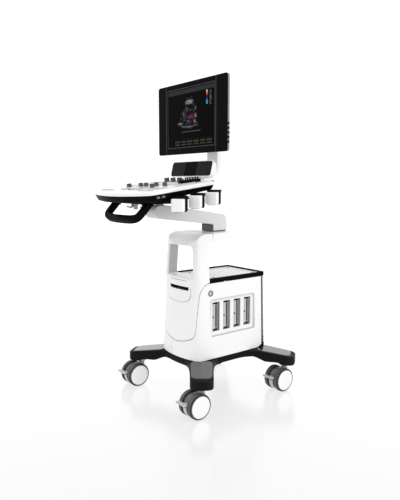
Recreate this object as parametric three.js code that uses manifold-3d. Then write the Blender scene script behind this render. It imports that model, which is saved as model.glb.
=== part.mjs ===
// Cart-based ultrasound machine: four twin-wheel casters, a white body with a
// hand arch, a swing arm, a tilted control console and a flat monitor.
// Millimetres, +Z up. The user stands at -Y and faces +Y; the origin is on the
// floor below the middle of the machine's bounding box.
import * as THREE from 'three';
import { mergeVertices } from 'three/addons/utils/BufferGeometryUtils.js';
import Module from 'manifold-3d';

const wasm = await Module();
wasm.setup();

// ---------------------------------------------------------------- dimensions
const GAP = 0.4; // clearance between pieces that touch

// The model is drawn with Y = 0 midway between the casters' stems, and the
// floor at the height FLOOR.
const ORIGIN_SHIFT_Y = 100.4;
const FLOOR = 6;

const STEM = { x: 218, y: 229 }; // caster stems
const WHEEL = { radius: 50, axleZ: FLOOR + 50, width: 24, centre: 27, trail: 34 };
const POD = { bottom: 118, top: 155, half: 46, corner: 26 };
const ARM_SPLAY = THREE.MathUtils.degToRad(38); // the base's arms, away from the X axis
const PLATE = { bottom: 150, top: 177 }; // frame plate under the body

const BODY = {
  bottom: 178, top: 493, halfLow: 132, halfHigh: 122,
  front: -201, bow: 18, rear: 196, corner: 32, rearCorner: 12,
  lean: 0.045, // how far the front leans back per millimetre of height
  skirtRadius: 58, skirtStart: 137,
};
const WALL = 3;
const COLUMN = { top: 690, half: 102, rearLow: -111, rearHigh: -80 };
const ARCH = { bottom: 511, top: 640, halfLow: 91, halfHigh: 75 };
const TRAY = { bottom: 493.5, top: 505, rim: 511 };
const CAP = { bottom: 656, top: 690, front: -79, side: 22, rear: 56, half: 101 };
const POST = { y: 10, front: -30 };
const ARM = { half: 38, pivotY: -286, rise: 0.148 };
const CONSOLE = {
  hingeY: -449, hingeZ: 848, tilt: THREE.MathUtils.degToRad(7.8),
  half: 212, top: 14, depth: 25, rear: 290, rearMiddle: 424, tongue: 60,
};
const PORT = { low: 288, high: 410, width: 40, pitch: 57.5, first: -76, count: 4 };
const CUP = { width: 48, height: 47, depth: 44, pitch: 77, turn: THREE.MathUtils.degToRad(25) };
const SPEAKER = {
  y: -114, half: 136, low: 918, high: 984, depth: 34, tilt: THREE.MathUtils.degToRad(14),
};
const TURRET = { y: -56, radius: 22, low: 894, high: 930 };
const MONITOR = {
  half: 228, low: 1012, high: 1299, front: -118, edge: 10, depth: 60,
  screenHalf: 152, screenLow: 1044, screenHigh: 1272,
};
const TILT_AXIS = { y: -24, z: 1150 };

// ---------------------------------------------------------------- materials
const material = (color, roughness, metalness = 0) =>
  new THREE.MeshStandardMaterial({ color, roughness, metalness });
const white = material(0xf1f1ee, 0.35);
const black = material(0x1b1c1e, 0.5);
const lightGrey = material(0xc9cbcd, 0.45);
const midGrey = material(0x7d8083, 0.5);
const darkGrey = material(0x4c4e51, 0.45);
const rubber = material(0x17181a, 0.85);
const steel = material(0x9a9da0, 0.4, 0.8);
const screen = material(0x22262c, 0.2);

// ---------------------------------------------------------------- helpers
const machine = new THREE.Group();
const centred = new THREE.Group(); // the drawing's own frame
centred.position.set(0, ORIGIN_SHIFT_Y, -FLOOR);
machine.add(centred);

// A closed geometry as a manifold solid.
function solid(geometry) {
  const plain = geometry.clone();
  plain.deleteAttribute('normal');
  plain.deleteAttribute('uv');
  const merged = mergeVertices(plain, 1e-3);
  return new wasm.Manifold(new wasm.Mesh({
    numProp: 3,
    vertProperties: new Float32Array(merged.attributes.position.array),
    triVerts: new Uint32Array(merged.index.array),
  }));
}

// A manifold solid as a geometry.
function toGeometry(body) {
  const mesh = body.getMesh();
  const geometry = new THREE.BufferGeometry();
  geometry.setAttribute('position', new THREE.BufferAttribute(mesh.vertProperties, 3));
  geometry.setIndex(new THREE.BufferAttribute(mesh.triVerts, 1));
  geometry.computeVertexNormals();
  return geometry;
}

function addNode(name, body, surface, parent = centred) {
  const geometry = body.isBufferGeometry ? body : toGeometry(body);
  const mesh = new THREE.Mesh(geometry, surface);
  mesh.name = name;
  parent.add(mesh);
  return mesh;
}

const join = (first, ...others) => others.reduce((sum, next) => sum.add(next), first);
const cut = (first, ...others) => others.reduce((rest, next) => rest.subtract(next), first);

function block(x0, x1, y0, y1, z0, z1) {
  const geometry = new THREE.BoxGeometry(x1 - x0, y1 - y0, z1 - z0);
  geometry.translate((x0 + x1) / 2, (y0 + y1) / 2, (z0 + z1) / 2);
  return solid(geometry);
}

function roundedRect(x0, x1, y0, y1, radius) {
  const shape = new THREE.Shape();
  shape.moveTo(x0 + radius, y0);
  shape.lineTo(x1 - radius, y0);
  shape.absarc(x1 - radius, y0 + radius, radius, -Math.PI / 2, 0);
  shape.lineTo(x1, y1 - radius);
  shape.absarc(x1 - radius, y1 - radius, radius, 0, Math.PI / 2);
  shape.lineTo(x0 + radius, y1);
  shape.absarc(x0 + radius, y1 - radius, radius, Math.PI / 2, Math.PI);
  shape.lineTo(x0, y0 + radius);
  shape.absarc(x0 + radius, y0 + radius, radius, Math.PI, 1.5 * Math.PI);
  return shape;
}

// A shape drawn in plan (X, Y), raised from z0 to z1.
function raise(shape, z0, z1, { curveSegments = 4, steps = 1, warp } = {}) {
  const geometry = new THREE.ExtrudeGeometry(shape, {
    depth: z1 - z0, bevelEnabled: false, curveSegments, steps,
  });
  geometry.translate(0, 0, z0);
  if (warp) bend(geometry, warp);
  return solid(geometry);
}

// A shape drawn from the side (Y, Z), spread across X from x0 to x1.
function spreadX(shape, x0, x1, curveSegments = 4) {
  const geometry = new THREE.ExtrudeGeometry(shape, {
    depth: x1 - x0, bevelEnabled: false, curveSegments,
  });
  geometry.applyMatrix4(new THREE.Matrix4().makeBasis(
    new THREE.Vector3(0, 1, 0), new THREE.Vector3(0, 0, 1), new THREE.Vector3(1, 0, 0),
  ));
  geometry.translate(x0, 0, 0);
  return solid(geometry);
}

// A shape drawn from the front (X, Z), deepened along Y from y0 to y1.
function deepenY(shape, y0, y1, curveSegments = 4, warp = null) {
  const geometry = new THREE.ExtrudeGeometry(shape, {
    depth: y1 - y0, bevelEnabled: false, curveSegments,
  });
  geometry.rotateX(Math.PI / 2);
  geometry.translate(0, y1, 0);
  if (warp) bend(geometry, warp);
  return solid(geometry);
}

// Moves every vertex of a geometry with a function of its place.
function bend(geometry, warp) {
  const position = geometry.attributes.position;
  const point = new THREE.Vector3();
  for (let i = 0; i < position.count; i += 1) {
    point.fromBufferAttribute(position, i);
    warp(point);
    position.setXYZ(i, point.x, point.y, point.z);
  }
}

function cylinder(radius, length, sides = 24) {
  return new THREE.CylinderGeometry(radius, radius, length, sides);
}

function uprightCylinder(x, y, z0, z1, radius, sides = 16) {
  const geometry = cylinder(radius, z1 - z0, sides);
  geometry.rotateX(Math.PI / 2);
  geometry.translate(x, y, (z0 + z1) / 2);
  return solid(geometry);
}

function crossCylinder(x0, x1, y, z, radius, sides = 16) {
  const geometry = cylinder(radius, x1 - x0, sides);
  geometry.rotateZ(Math.PI / 2);
  geometry.translate((x0 + x1) / 2, y, z);
  return solid(geometry);
}

function polygon(points) {
  return new THREE.Shape(points.map(([x, y]) => new THREE.Vector2(x, y)));
}

// ---------------------------------------------------------------- casters
// Each caster is drawn about its own stem, and placed at a corner.
function makeForkSolid() {
  const { axleZ, trail } = WHEEL;
  const half = WHEEL.centre - WHEEL.width / 2 - 1.5;
  const hood = crossCylinder(-half, half, -trail, axleZ, WHEEL.radius - 5, 20);
  const foot = block(-half - 1, half + 1, -trail - 60, -trail + 60, 0, FLOOR + 9);
  const axleHole = crossCylinder(-half - 1, half + 1, -trail, axleZ, 5.6, 20);
  const neck = uprightCylinder(0, 0, 84, POD.bottom - 5, 13);
  const collar = uprightCylinder(0, 0, 108, POD.bottom - 0.5, 20);
  const pedalSlot = block(-9, 9, -trail - 60, -trail - 26, 56, 82);
  return cut(join(hood, neck, collar), foot, axleHole, pedalSlot);
}

function makeWheelsSolid() {
  const inner = WHEEL.centre - WHEEL.width / 2;
  const outer = WHEEL.centre + WHEEL.width / 2;
  const r = WHEEL.radius;
  const half = [
    [5, inner], [r - 4, inner], [r, inner + 5],
    [r, outer - 8], [r - 4, outer - 1], [r - 12, outer + 1],
  ];
  const profile = [
    new THREE.Vector2(0, -outer - 3),
    ...half.slice().reverse().map(([radius, x]) => new THREE.Vector2(radius, -x)),
    ...half.map(([radius, x]) => new THREE.Vector2(radius, x)),
    new THREE.Vector2(0, outer + 3),
  ];
  const geometry = new THREE.LatheGeometry(profile, 20);
  geometry.rotateZ(-Math.PI / 2);
  geometry.translate(0, -WHEEL.trail, WHEEL.axleZ);
  return solid(geometry);
}

function makePedalSolid() {
  const front = -WHEEL.trail - WHEEL.radius;
  const side = polygon([
    [front + 20, 62], [front + 20, 72], [front - 4, 74], [front - 20, 80],
    [front - 24, 76], [front - 22, 71], [front - 4, 64],
  ]);
  const stalk = spreadX(side, -8, 8);
  const bar = raise(roundedRect(-28, 28, front - 24, front - 4, 7), 68, 78);
  return join(stalk, bar);
}

const corners = [
  ['front_left', -1, -1], ['front_right', 1, -1], ['rear_left', -1, 1], ['rear_right', 1, 1],
];

function addCasters() {
  const fork = makeForkSolid();
  const wheels = makeWheelsSolid();
  const pedal = makePedalSolid();
  for (const [corner, sideX, sideY] of corners) {
    const caster = new THREE.Group();
    caster.position.set(sideX * STEM.x, sideY * STEM.y, 0);
    centred.add(caster);
    addNode(`caster_fork_${corner}`, fork, midGrey, caster);
    addNode(`caster_wheels_${corner}`, wheels, rubber, caster);
    addNode(`caster_pedal_${corner}`, pedal, lightGrey, caster);
  }
}

// ---------------------------------------------------------------- body blank
function halfWidthAt(z) {
  const slope = (BODY.halfLow - BODY.halfHigh) / (BODY.top - BODY.bottom);
  const low = BODY.halfLow - slope * (z - BODY.bottom);
  const share = (z - BODY.top) / (COLUMN.top - BODY.top);
  const high = BODY.halfHigh - (BODY.halfHigh - COLUMN.half) * share;
  return z < BODY.top ? low : high;
}

function frontShift(z) {
  return BODY.lean * (z - BODY.bottom);
}

function planOutline(inset) {
  const half = BODY.halfLow - inset;
  const front = BODY.front + inset;
  const side = front + BODY.bow;
  const rear = BODY.rear - inset;
  const r = BODY.corner - inset;
  const rr = Math.max(BODY.rearCorner - inset, 1);
  const shape = new THREE.Shape();
  shape.moveTo(half, side + r);
  shape.lineTo(half, rear - rr);
  shape.absarc(half - rr, rear - rr, rr, 0, Math.PI / 2);
  shape.lineTo(-half + rr, rear);
  shape.absarc(-half + rr, rear - rr, rr, Math.PI / 2, Math.PI);
  shape.lineTo(-half, side + r);
  shape.quadraticCurveTo(-half, side + 4, -half + r, side - 2);
  shape.quadraticCurveTo(0, front - BODY.bow + 6, half - r, side - 2);
  shape.quadraticCurveTo(half, side + 4, half, side + r);
  return shape;
}

// The body's outer form, or the same form moved inwards by the inset.
function bodyForm(inset, bottom, top, steps = 2) {
  return raise(planOutline(inset), bottom, top, {
    curveSegments: 4,
    steps,
    warp: (point) => {
      const outline = BODY.halfLow - inset;
      const front = (BODY.rear - point.y) / (BODY.rear - BODY.front);
      point.x *= (halfWidthAt(point.z) - inset) / outline;
      point.y += frontShift(point.z) * THREE.MathUtils.clamp(front, 0, 1);
    },
  });
}

// Side view of the body with its rounded lower rear corner.
function sideView(inset, top) {
  const shape = new THREE.Shape();
  const r = BODY.skirtRadius - inset;
  const bottom = BODY.bottom + inset;
  shape.moveTo(BODY.front - 40, bottom);
  shape.lineTo(BODY.skirtStart, bottom);
  shape.absarc(BODY.skirtStart, bottom + r, r, -Math.PI / 2, 0);
  shape.lineTo(BODY.rear + 10, bottom + r);
  shape.lineTo(BODY.rear + 10, top);
  shape.lineTo(BODY.front - 40, top);
  return shape;
}

// Side view of the front cover's region; grow widens it to leave a seam.
function coverSide(grow) {
  const shape = new THREE.Shape();
  shape.moveTo(BODY.front - 60, 180);
  shape.lineTo(-188 + grow, 180);
  shape.lineTo(-188 + grow, 278);
  shape.lineTo(-180 + grow, 300);
  shape.lineTo(-169 + grow, 368);
  shape.lineTo(-160 + grow, 438);
  shape.quadraticCurveTo(-152 + grow, 472, -118 + grow, 487);
  shape.lineTo(COLUMN.rearLow + grow, 492.5);
  shape.lineTo(COLUMN.rearLow + grow, 560);
  shape.lineTo(COLUMN.rearHigh + grow, CAP.bottom);
  shape.lineTo(COLUMN.rearHigh + grow, COLUMN.top);
  shape.lineTo(-114, COLUMN.top);
  shape.quadraticCurveTo(-160, COLUMN.top - 2, -174, 645);
  shape.lineTo(-182, 600);
  shape.lineTo(BODY.front - 60, 560);
  return shape;
}

// Front view of the same region, with its curved lower edge.
function coverFront(grow) {
  const shape = new THREE.Shape();
  shape.moveTo(-160, 300);
  shape.lineTo(-116, 276 - grow);
  shape.quadraticCurveTo(-70, 240 - grow, 0, 240 - grow);
  shape.quadraticCurveTo(70, 240 - grow, 116, 276 - grow);
  shape.lineTo(160, 300);
  shape.lineTo(160, 760);
  shape.lineTo(-160, 760);
  return shape;
}

function coverRegion(grow) {
  return spreadX(coverSide(grow), -170, 170, 6)
    .intersect(deepenY(coverFront(grow), -300, 0, 8));
}

function archOpening(inset) {
  const { bottom, top, halfLow, halfHigh } = ARCH;
  const shape = new THREE.Shape();
  const low = halfLow + inset;
  const high = halfHigh + inset;
  shape.moveTo(-low, bottom - inset);
  shape.lineTo(low, bottom - inset);
  shape.lineTo(high + 4, top - 22 + inset);
  shape.quadraticCurveTo(high, top + inset, high - 24, top + inset);
  shape.lineTo(-high + 24, top + inset);
  shape.quadraticCurveTo(-high, top + inset, -high - 4, top - 22 + inset);
  return deepenY(shape, -320, 60, 4);
}

// ---------------------------------------------------------------- base frame
function makeBaseFrame(bodyClearance) {
  const plate = raise(planOutline(4), PLATE.bottom, PLATE.top, { curveSegments: 4 });
  const skirt = block(-128, 128, 120, BODY.rear, PLATE.bottom, 236);
  let frame = join(plate, skirt);
  const rise = (PLATE.top - 5 - POD.top) / 170;
  for (const [, sideX, sideY] of corners) {
    const turn = sideX > 0 ? sideY * ARM_SPLAY : Math.PI - sideY * ARM_SPLAY;
    const arm = new THREE.ExtrudeGeometry(roundedRect(-200, POD.half, -40, 40, 22), {
      depth: POD.top - 128, bevelEnabled: false, curveSegments: 2,
    });
    const podPlan = roundedRect(-POD.half, POD.half, -POD.half, POD.half, POD.corner);
    const pod = new THREE.ExtrudeGeometry(podPlan, {
      depth: POD.top - POD.bottom, bevelEnabled: false, curveSegments: 3,
    });
    arm.translate(0, 0, 128);
    pod.translate(0, 0, POD.bottom);
    for (const piece of [arm, pod]) {
      bend(piece, (point) => {
        if (point.z > POD.top - 1) point.z += Math.min(rise * (POD.half - point.x), 26);
      });
      piece.rotateZ(turn);
      piece.translate(sideX * STEM.x, sideY * STEM.y, 0);
      frame = frame.add(solid(piece));
    }
  }
  return cut(frame, bodyClearance);
}

// ---------------------------------------------------------------- body
function addBody() {
  const outer = bodyForm(0, BODY.bottom, BODY.top)
    .intersect(spreadX(sideView(0, 700), -170, 170, 6));
  const inner = bodyForm(WALL, BODY.bottom - 60, BODY.top + 60)
    .intersect(spreadX(sideView(WALL, 700), -170, 170, 6));
  const bottomHole = raise(planOutline(14), BODY.bottom - 10, BODY.bottom + 40)
    .intersect(block(-200, 200, -250, 130, 100, 300));
  const shell = cut(outer, inner, bottomHole);
  const lowClearance = bodyForm(-GAP, BODY.bottom - GAP, 300, 2)
    .intersect(spreadX(sideView(-GAP, 700), -170, 170, 6));
  addNode('base_frame', makeBaseFrame(lowClearance), black);

  // Casings: the front cover takes its region, the rest splits at X = -65 in
  // front, and the rear wall is a cover of its own.
  const seam = coverRegion(GAP);
  const rearLine = 176;
  const rest = cut(shell, seam);
  const splitX = -65;
  const portHole = spreadX(roundedRect(-111, 134, 271, 424, 12), 60, 170);
  const buttonHole = crossCylinder(60, 170, -109, 451, 12, 20);
  const rightSide = join(
    block(GAP / 2, 200, -300, rearLine - GAP / 2, 100, 600),
    block(splitX + GAP / 2, 200, -300, -150, 100, 600),
  );
  const leftSide = cut(
    block(-200, -GAP / 2, -300, rearLine - GAP / 2, 100, 600),
    block(splitX - GAP / 2, 200, -301, -150, 90, 610),
  );
  addNode('left_panel', rest.intersect(leftSide), white);
  addNode('right_panel', cut(rest.intersect(rightSide), portHole, buttonHole), white);

  const inletHole = block(-31, 31, 150, 220, 252, 278);
  const switchHole = block(40, 62, 150, 220, 254, 276);
  const behind = block(-200, 200, rearLine + GAP / 2, 260, 100, 600);
  let rear = cut(rest.intersect(behind), inletHole, switchHole);
  for (let row = 0; row < 6; row += 1) {
    const z = 330 + row * 20;
    rear = cut(rear, block(-85, 85, 150, 220, z, z + 8));
  }
  addNode('rear_cover', rear, white);
}

function addFrontCover() {
  const tall = bodyForm(0, BODY.bottom, COLUMN.top, 5);
  const tallInner = bodyForm(WALL, BODY.bottom - 20, COLUMN.top - WALL, 5);
  const region = coverRegion(0);
  const opening = archOpening(0);
  const lowInner = tallInner.intersect(block(-170, 170, -300, 0, 100, ARCH.bottom - 4.5));
  // Hollow of the legs and the bridge over the arch, open at the back below.
  const legHollow = cut(tallInner, archOpening(WALL), block(-94, 94, -300, 0, 400, ARCH.bottom))
    .intersect(spreadX(polygon([
      [-160, 480], [-116, 480], [-116, 560], [-88, 652],
      [-70, 652], [-70, 684], [-116, 684], [-158, 644],
    ]), -170, 170));
  const bezelHole = bezelOutline(0);
  const cover = cut(tall.intersect(region), opening, lowInner, legHollow, bezelHole);
  addNode('front_cover', cover, white);
}

function bezelOutline(inset) {
  const half = 86 - inset;
  const low = 410 + inset;
  const high = 503 - inset;
  const shape = new THREE.Shape();
  shape.moveTo(-half, high);
  shape.lineTo(-half, low + 52);
  shape.quadraticCurveTo(-half + 4, low, 0, low);
  shape.quadraticCurveTo(half - 4, low, half, low + 52);
  shape.lineTo(half, high);
  return deepenY(shape, -320, -120, 5);
}

const SLOT = { half: 64, low: 462, high: 474.7 };

function addDrive() {
  const skin = cut(bodyForm(0, 380, 520, 3), bodyForm(WALL + 1, 370, 530, 3))
    .intersect(block(-170, 170, -300, -120, 380, 520));
  const slot = block(-SLOT.half, SLOT.half, -320, -120, SLOT.low, SLOT.high);
  addNode('drive_bezel', cut(skin.intersect(bezelOutline(GAP)), slot), lightGrey);
  const pocket = block(-SLOT.half + 0.6, SLOT.half - 0.6, -200, -24, SLOT.low + 1, SLOT.high - 1);
  const drive = cut(block(-73, 73, -165, -10, SLOT.low - 6, SLOT.high + 7), pocket);
  addNode('disc_drive', drive, steel);
  const tray = block(-SLOT.half + 1.2, SLOT.half - 1.2, -186, -40, SLOT.low + 2, SLOT.high - 2);
  const disc = uprightCylinder(0, -110, SLOT.high - 3.6, SLOT.high + 2, 60, 28);
  addNode('disc_tray', cut(tray, disc), black);
}

function addTray() {
  const rimOuter = bodyForm(0, TRAY.bottom, TRAY.rim, 1);
  const rimInner = bodyForm(9, TRAY.bottom - 5, TRAY.rim + 5, 1);
  const behindLegs = block(-170, 170, COLUMN.rearLow + 2 * GAP, 260, 480, 520);
  const front = block(-100, 100, -200, 100, 480, 520);
  addNode('tray_rim', cut(rimOuter, rimInner, front).intersect(behindLegs), black);
  const plate = bodyForm(9 + GAP, TRAY.bottom, TRAY.top, 1).intersect(behindLegs);
  addNode('tray_top', plate, lightGrey);
}

// ---------------------------------------------------------------- probe ports
function addPorts() {
  const frameX = 112;
  const outline = roundedRect(-110.4, 133.4, 271.6, 423.4, 11.4);
  let frame = spreadX(outline, frameX, frameX + 5);
  let board = block(92, 104, -104, 126, 284, 414);
  for (let index = 0; index < PORT.count; index += 1) {
    const y = PORT.first + index * PORT.pitch;
    const half = PORT.width / 2;
    const window = spreadX(roundedRect(y - half, y + half, PORT.low, PORT.high, 4), 90, 130, 2);
    const face = roundedRect(y - half + 2, y + half - 2, PORT.low + 2, PORT.high - 2, 3);
    const connector = spreadX(face, 100, 112, 1);
    const socket = block(107, 120, y - 1, y + 5, PORT.low + 16, PORT.high - 16);
    frame = cut(frame, window);
    board = cut(join(board, connector), socket);
  }
  addNode('port_frame', frame, white);
  addNode('port_board', board, midGrey);
  addNode('power_button', crossCylinder(112, 124.5, -109, 451, 11, 24), lightGrey);
}

// ---------------------------------------------------------------- inside
function addInside() {
  const posts = [
    [-112, -100, -140, -120], [100, 112, -140, -120], [-112, -100, 100, 120], [80, 90, 100, 120],
  ];
  let chassis = block(-118, 118, -150, 120, BODY.bottom + 0.5, BODY.bottom + 8);
  for (const [x0, x1, y0, y1] of posts) {
    chassis = join(chassis, block(x0, x1, y0, y1, BODY.bottom + 2, 444));
  }
  const top = cut(block(-112, 90, -140, 120, 440, 446), block(-90, 76, -116, 100, 430, 450));
  addNode('chassis_frame', join(chassis, top), steel);
  addNode('electronics_module', block(-85, 72, -100, 90, 292, 436), darkGrey);
  addNode('power_supply', block(-85, 72, -80, 96, BODY.bottom + 9, 284), steel);
  const inlet = join(block(-30, 30, 160, 198, 253, 277), block(-36, 36, 165, 190, 248, 282));
  addNode('mains_inlet', cut(inlet, block(-24, 24, 178, 210, 256, 274)), black);
  addNode('mains_switch', block(41, 61, 172, 200, 255, 275), black);

  // Steel portal in the legs of the arch; its bridge holds the post's bearing.
  const legs = [];
  for (const side of [-1, 1]) {
    const leg = polygon([
      [side * 100, 480], [side * 112, 480], [side * 103, 560],
      [side * 94, 656], [side * 84, 656], [side * 91, 560],
    ]);
    legs.push(deepenY(leg, -143, -122));
  }
  const bridge = block(-92, 92, -126, -92, 648, 664);
  const plate = block(-40, 40, -110, 46, 658, 672);
  const tube = uprightCylinder(0, POST.y, 660, 684, 34);
  const bore = uprightCylinder(0, POST.y, 640, 700, 23.5);
  addNode('column_frame', cut(join(legs[0], legs[1], bridge, plate, tube), bore), steel);
}

// ---------------------------------------------------------------- arm
function addCap() {
  const outline = (inset) => {
    const half = CAP.half - inset;
    const shape = new THREE.Shape();
    shape.moveTo(-half, CAP.front + inset / 2);
    shape.lineTo(half, CAP.front + inset / 2);
    shape.lineTo(half - 2, CAP.side - inset);
    shape.quadraticCurveTo(half - 14, CAP.rear - inset, 0, CAP.rear + 6 - inset);
    shape.quadraticCurveTo(-half + 14, CAP.rear - inset, -half + 2, CAP.side - inset);
    return shape;
  };
  const outer = raise(outline(0), CAP.bottom, CAP.top, { curveSegments: 4 });
  const slope = spreadX(polygon([[-90, 650], [80, 650], [80, 671]]), -120, 120);
  const hollow = raise(outline(WALL), CAP.bottom - 5, CAP.top - 4, { curveSegments: 4 });
  const front = block(-98, 98, -90, -70, 640, 684);
  const spindle = uprightCylinder(0, POST.y, 640, 700, 26);
  addNode('arm_cap', cut(outer, slope, hollow, front, spindle), white);
}

function armTop(y) {
  return 765 + ARM.rise * (23 - y);
}

function addArm() {
  const face = block(-37.6, 37.6, POST.front, POST.front + 3, CAP.top + 1, 720);
  const core = block(-33.6, 33.6, POST.front + 2.99, 43.6, CAP.top + 1, 719.6);
  const spindle = uprightCylinder(0, POST.y, 655, CAP.top + 2, 23);
  addNode('arm_post', join(face, core, spindle), darkGrey);

  const side = new THREE.Shape();
  side.moveTo(-26.6, CAP.top + 2);
  side.lineTo(50, CAP.top + 2);
  side.lineTo(50, 738);
  side.absarc(23, 738, 27, 0, Math.PI / 2);
  side.lineTo(-268, armTop(-268));
  side.quadraticCurveTo(-316, armTop(-316), -319, 785);
  side.quadraticCurveTo(-318, 757, -290, 754);
  side.lineTo(-30, 722);
  side.lineTo(-26.6, 722);
  const beam = spreadX(side, -ARM.half, ARM.half, 6);
  const pocket = block(-34, 34, -40, 44, CAP.top, 720);
  const boss = uprightCylinder(0, ARM.pivotY, 780, 815.4, 30);
  const bossHole = uprightCylinder(0, ARM.pivotY, 786, 840, 14.4);
  addNode('swing_arm', cut(join(beam, boss), pocket, bossHole), lightGrey);
}

// ---------------------------------------------------------------- console
// Drawn in its own tilted frame: y runs up the slope from the hinge line at
// the front edge of the side walls, z is square to the control surface.
const consoleFrame = new THREE.Group();
consoleFrame.position.set(0, CONSOLE.hingeY, CONSOLE.hingeZ);
consoleFrame.rotation.x = CONSOLE.tilt;
centred.add(consoleFrame);
consoleFrame.updateMatrix();

function consoleOutline(inset) {
  const half = CONSOLE.half - inset;
  const front = -34 + inset;
  const rear = CONSOLE.rear - inset;
  const middle = CONSOLE.rearMiddle - inset;
  const tongue = CONSOLE.tongue - inset;
  const shape = new THREE.Shape();
  shape.moveTo(half, 26);
  shape.lineTo(half, rear - 14);
  shape.quadraticCurveTo(half, rear, half - 16, rear + 2);
  shape.lineTo(116 - inset, rear + 14);
  shape.quadraticCurveTo(78 - inset, rear + 20, tongue, rear + 66);
  shape.lineTo(tongue, middle - 24);
  shape.quadraticCurveTo(tongue, middle, tongue - 24, middle);
  shape.lineTo(-tongue + 24, middle);
  shape.quadraticCurveTo(-tongue, middle, -tongue, middle - 24);
  shape.lineTo(-tongue, rear + 66);
  shape.quadraticCurveTo(-78 + inset, rear + 20, -116 + inset, rear + 14);
  shape.lineTo(-half + 16, rear + 2);
  shape.quadraticCurveTo(-half, rear, -half, rear - 14);
  shape.lineTo(-half, 26);
  shape.quadraticCurveTo(-half, 4, -half + 26, -4);
  shape.quadraticCurveTo(0, 2 * front + 4, half - 26, -4);
  shape.quadraticCurveTo(half, 4, half, 26);
  return shape;
}

const KNOBS = [
  ['knob_gain', -110, 112, 11], ['knob_mode_b', -60, 136, 10], ['knob_mode_colour', -25, 138, 10],
  ['knob_mode_pulse', 60, 110, 10], ['knob_mode_m', 30, 150, 10], ['knob_focus', 85, 152, 10],
  ['knob_depth', -80, 276, 12], ['knob_zoom', -35, 276, 12], ['knob_angle', 10, 276, 12],
];
const BALL = { x: 0, y: 74, radius: 25, z: 2 };
const BANK = { x: 121, y: 240, half: 17, length: 84, turn: THREE.MathUtils.degToRad(-22) };

const ballRoom = (clearance) => solid(
  new THREE.SphereGeometry(BALL.radius + clearance, 16, 8).translate(BALL.x, BALL.y, BALL.z),
);

function turned(geometry, angle, x, y) {
  geometry.rotateZ(angle);
  geometry.translate(x, y, 0);
  return solid(geometry);
}

function addConsoleShells() {
  const crown = (point) => {
    if (point.z > 8) {
      point.x *= 0.985;
      point.y = 170 + (point.y - 170) * 0.985;
    }
  };
  let top = raise(consoleOutline(0), GAP, CONSOLE.top, { curveSegments: 4, steps: 2, warp: crown });
  const under = raise(consoleOutline(5), -10, CONSOLE.top - 4, { curveSegments: 4 });
  top = cut(top, under);
  top = cut(top, block(-152, 152, 178, 256, 5, 30));
  top = cut(top, ballRoom(1.4));
  for (const [, x, y] of KNOBS) top = cut(top, uprightCylinder(x, y, -5, 30, 5, 8));
  const slot = new THREE.BoxGeometry(2 * BANK.half - 8, BANK.length - 8, 40);
  top = cut(top, turned(slot, BANK.turn, BANK.x, BANK.y));
  const toConsole = consoleFrame.matrix.clone().invert();
  const turretRoom = cylinder(TURRET.radius + 0.6, 90, 16).rotateX(Math.PI / 2);
  turretRoom.translate(0, TURRET.y, 930);
  turretRoom.applyMatrix4(toConsole);
  top = cut(top, solid(turretRoom));

  const taper = (point) => {
    if (point.z < -1) {
      const y = point.y;
      point.x *= 0.955;
      point.y = 170 + (y - 170) * 0.965;
      point.z += 8 * THREE.MathUtils.clamp((y - 20) / 270, 0, 1);
    }
  };
  const tub = raise(consoleOutline(0), -CONSOLE.depth, 0, { curveSegments: 4, warp: taper });
  const hollow = raise(consoleOutline(5), -CONSOLE.depth + 13, 20, { curveSegments: 4 });
  // The deeper middle of the tub ends in a level floor over the arm's boss.
  const podGeometry = new THREE.ExtrudeGeometry(roundedRect(-125, 125, -420, -214, 26), {
    depth: 34, bevelEnabled: false, curveSegments: 4,
  });
  podGeometry.translate(0, 0, 816);
  podGeometry.applyMatrix4(toConsole);
  const spigot = cylinder(14, 36, 20).rotateX(Math.PI / 2);
  spigot.translate(0, ARM.pivotY, 804);
  spigot.applyMatrix4(toConsole);
  const base = join(cut(tub, hollow), solid(podGeometry), solid(spigot));
  addNode('console_base', cut(base, ballRoom(1.8)), black, consoleFrame);
  addNode('console_top', top, white, consoleFrame);
}

function addControls() {
  let keys = block(-151, 151, 179, 255, 5.4, 13);
  for (let row = 0; row < 3; row += 1) {
    for (let column = 0; column < 10; column += 1) {
      const x = -144 + column * 20 + row * 5;
      const y = 184 + row * 18;
      keys = keys.add(block(x, x + 16, y, y + 14, 12, 16));
    }
  }
  const bankRoom = new THREE.BoxGeometry(2 * BANK.half + 1, BANK.length + 1, 60);
  keys = cut(keys, turned(bankRoom, BANK.turn, BANK.x, BANK.y));
  addNode('key_mat', keys, lightGrey, consoleFrame);

  const ball = new THREE.SphereGeometry(BALL.radius, 18, 10);
  addNode('trackball', solid(ball), lightGrey, consoleFrame).position.set(BALL.x, BALL.y, BALL.z);

  for (const [name, x, y, radius] of KNOBS) {
    const profile = [
      [0, -2], [3.4, -2], [3.4, 14.6], [radius, 14.6], [radius, 24], [radius - 4, 30], [0, 30],
    ].map(([r, z]) => new THREE.Vector2(r, z));
    const knob = new THREE.LatheGeometry(profile, 12);
    knob.rotateX(Math.PI / 2);
    addNode(name, solid(knob), darkGrey, consoleFrame).position.set(x, y, 0);
  }

  const bankHalf = BANK.length / 2;
  const bankBase = block(-BANK.half, BANK.half, -bankHalf, bankHalf, CONSOLE.top + 0.4, 26.4);
  const foot = block(-BANK.half + 5, BANK.half - 5, -bankHalf + 5, bankHalf - 5, 4, 16);
  let bank = join(bankBase, foot);
  for (let index = 0; index < 8; index += 1) {
    const y = -bankHalf + 8 + index * 9.7;
    bank = bank.add(block(-9, 9, y - 2.6, y + 2.6, 24, 34));
  }
  const bankMesh = addNode('slider_bank', bank, black, consoleFrame);
  bankMesh.position.set(BANK.x, BANK.y, 0);
  bankMesh.rotation.z = BANK.turn;
}

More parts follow.
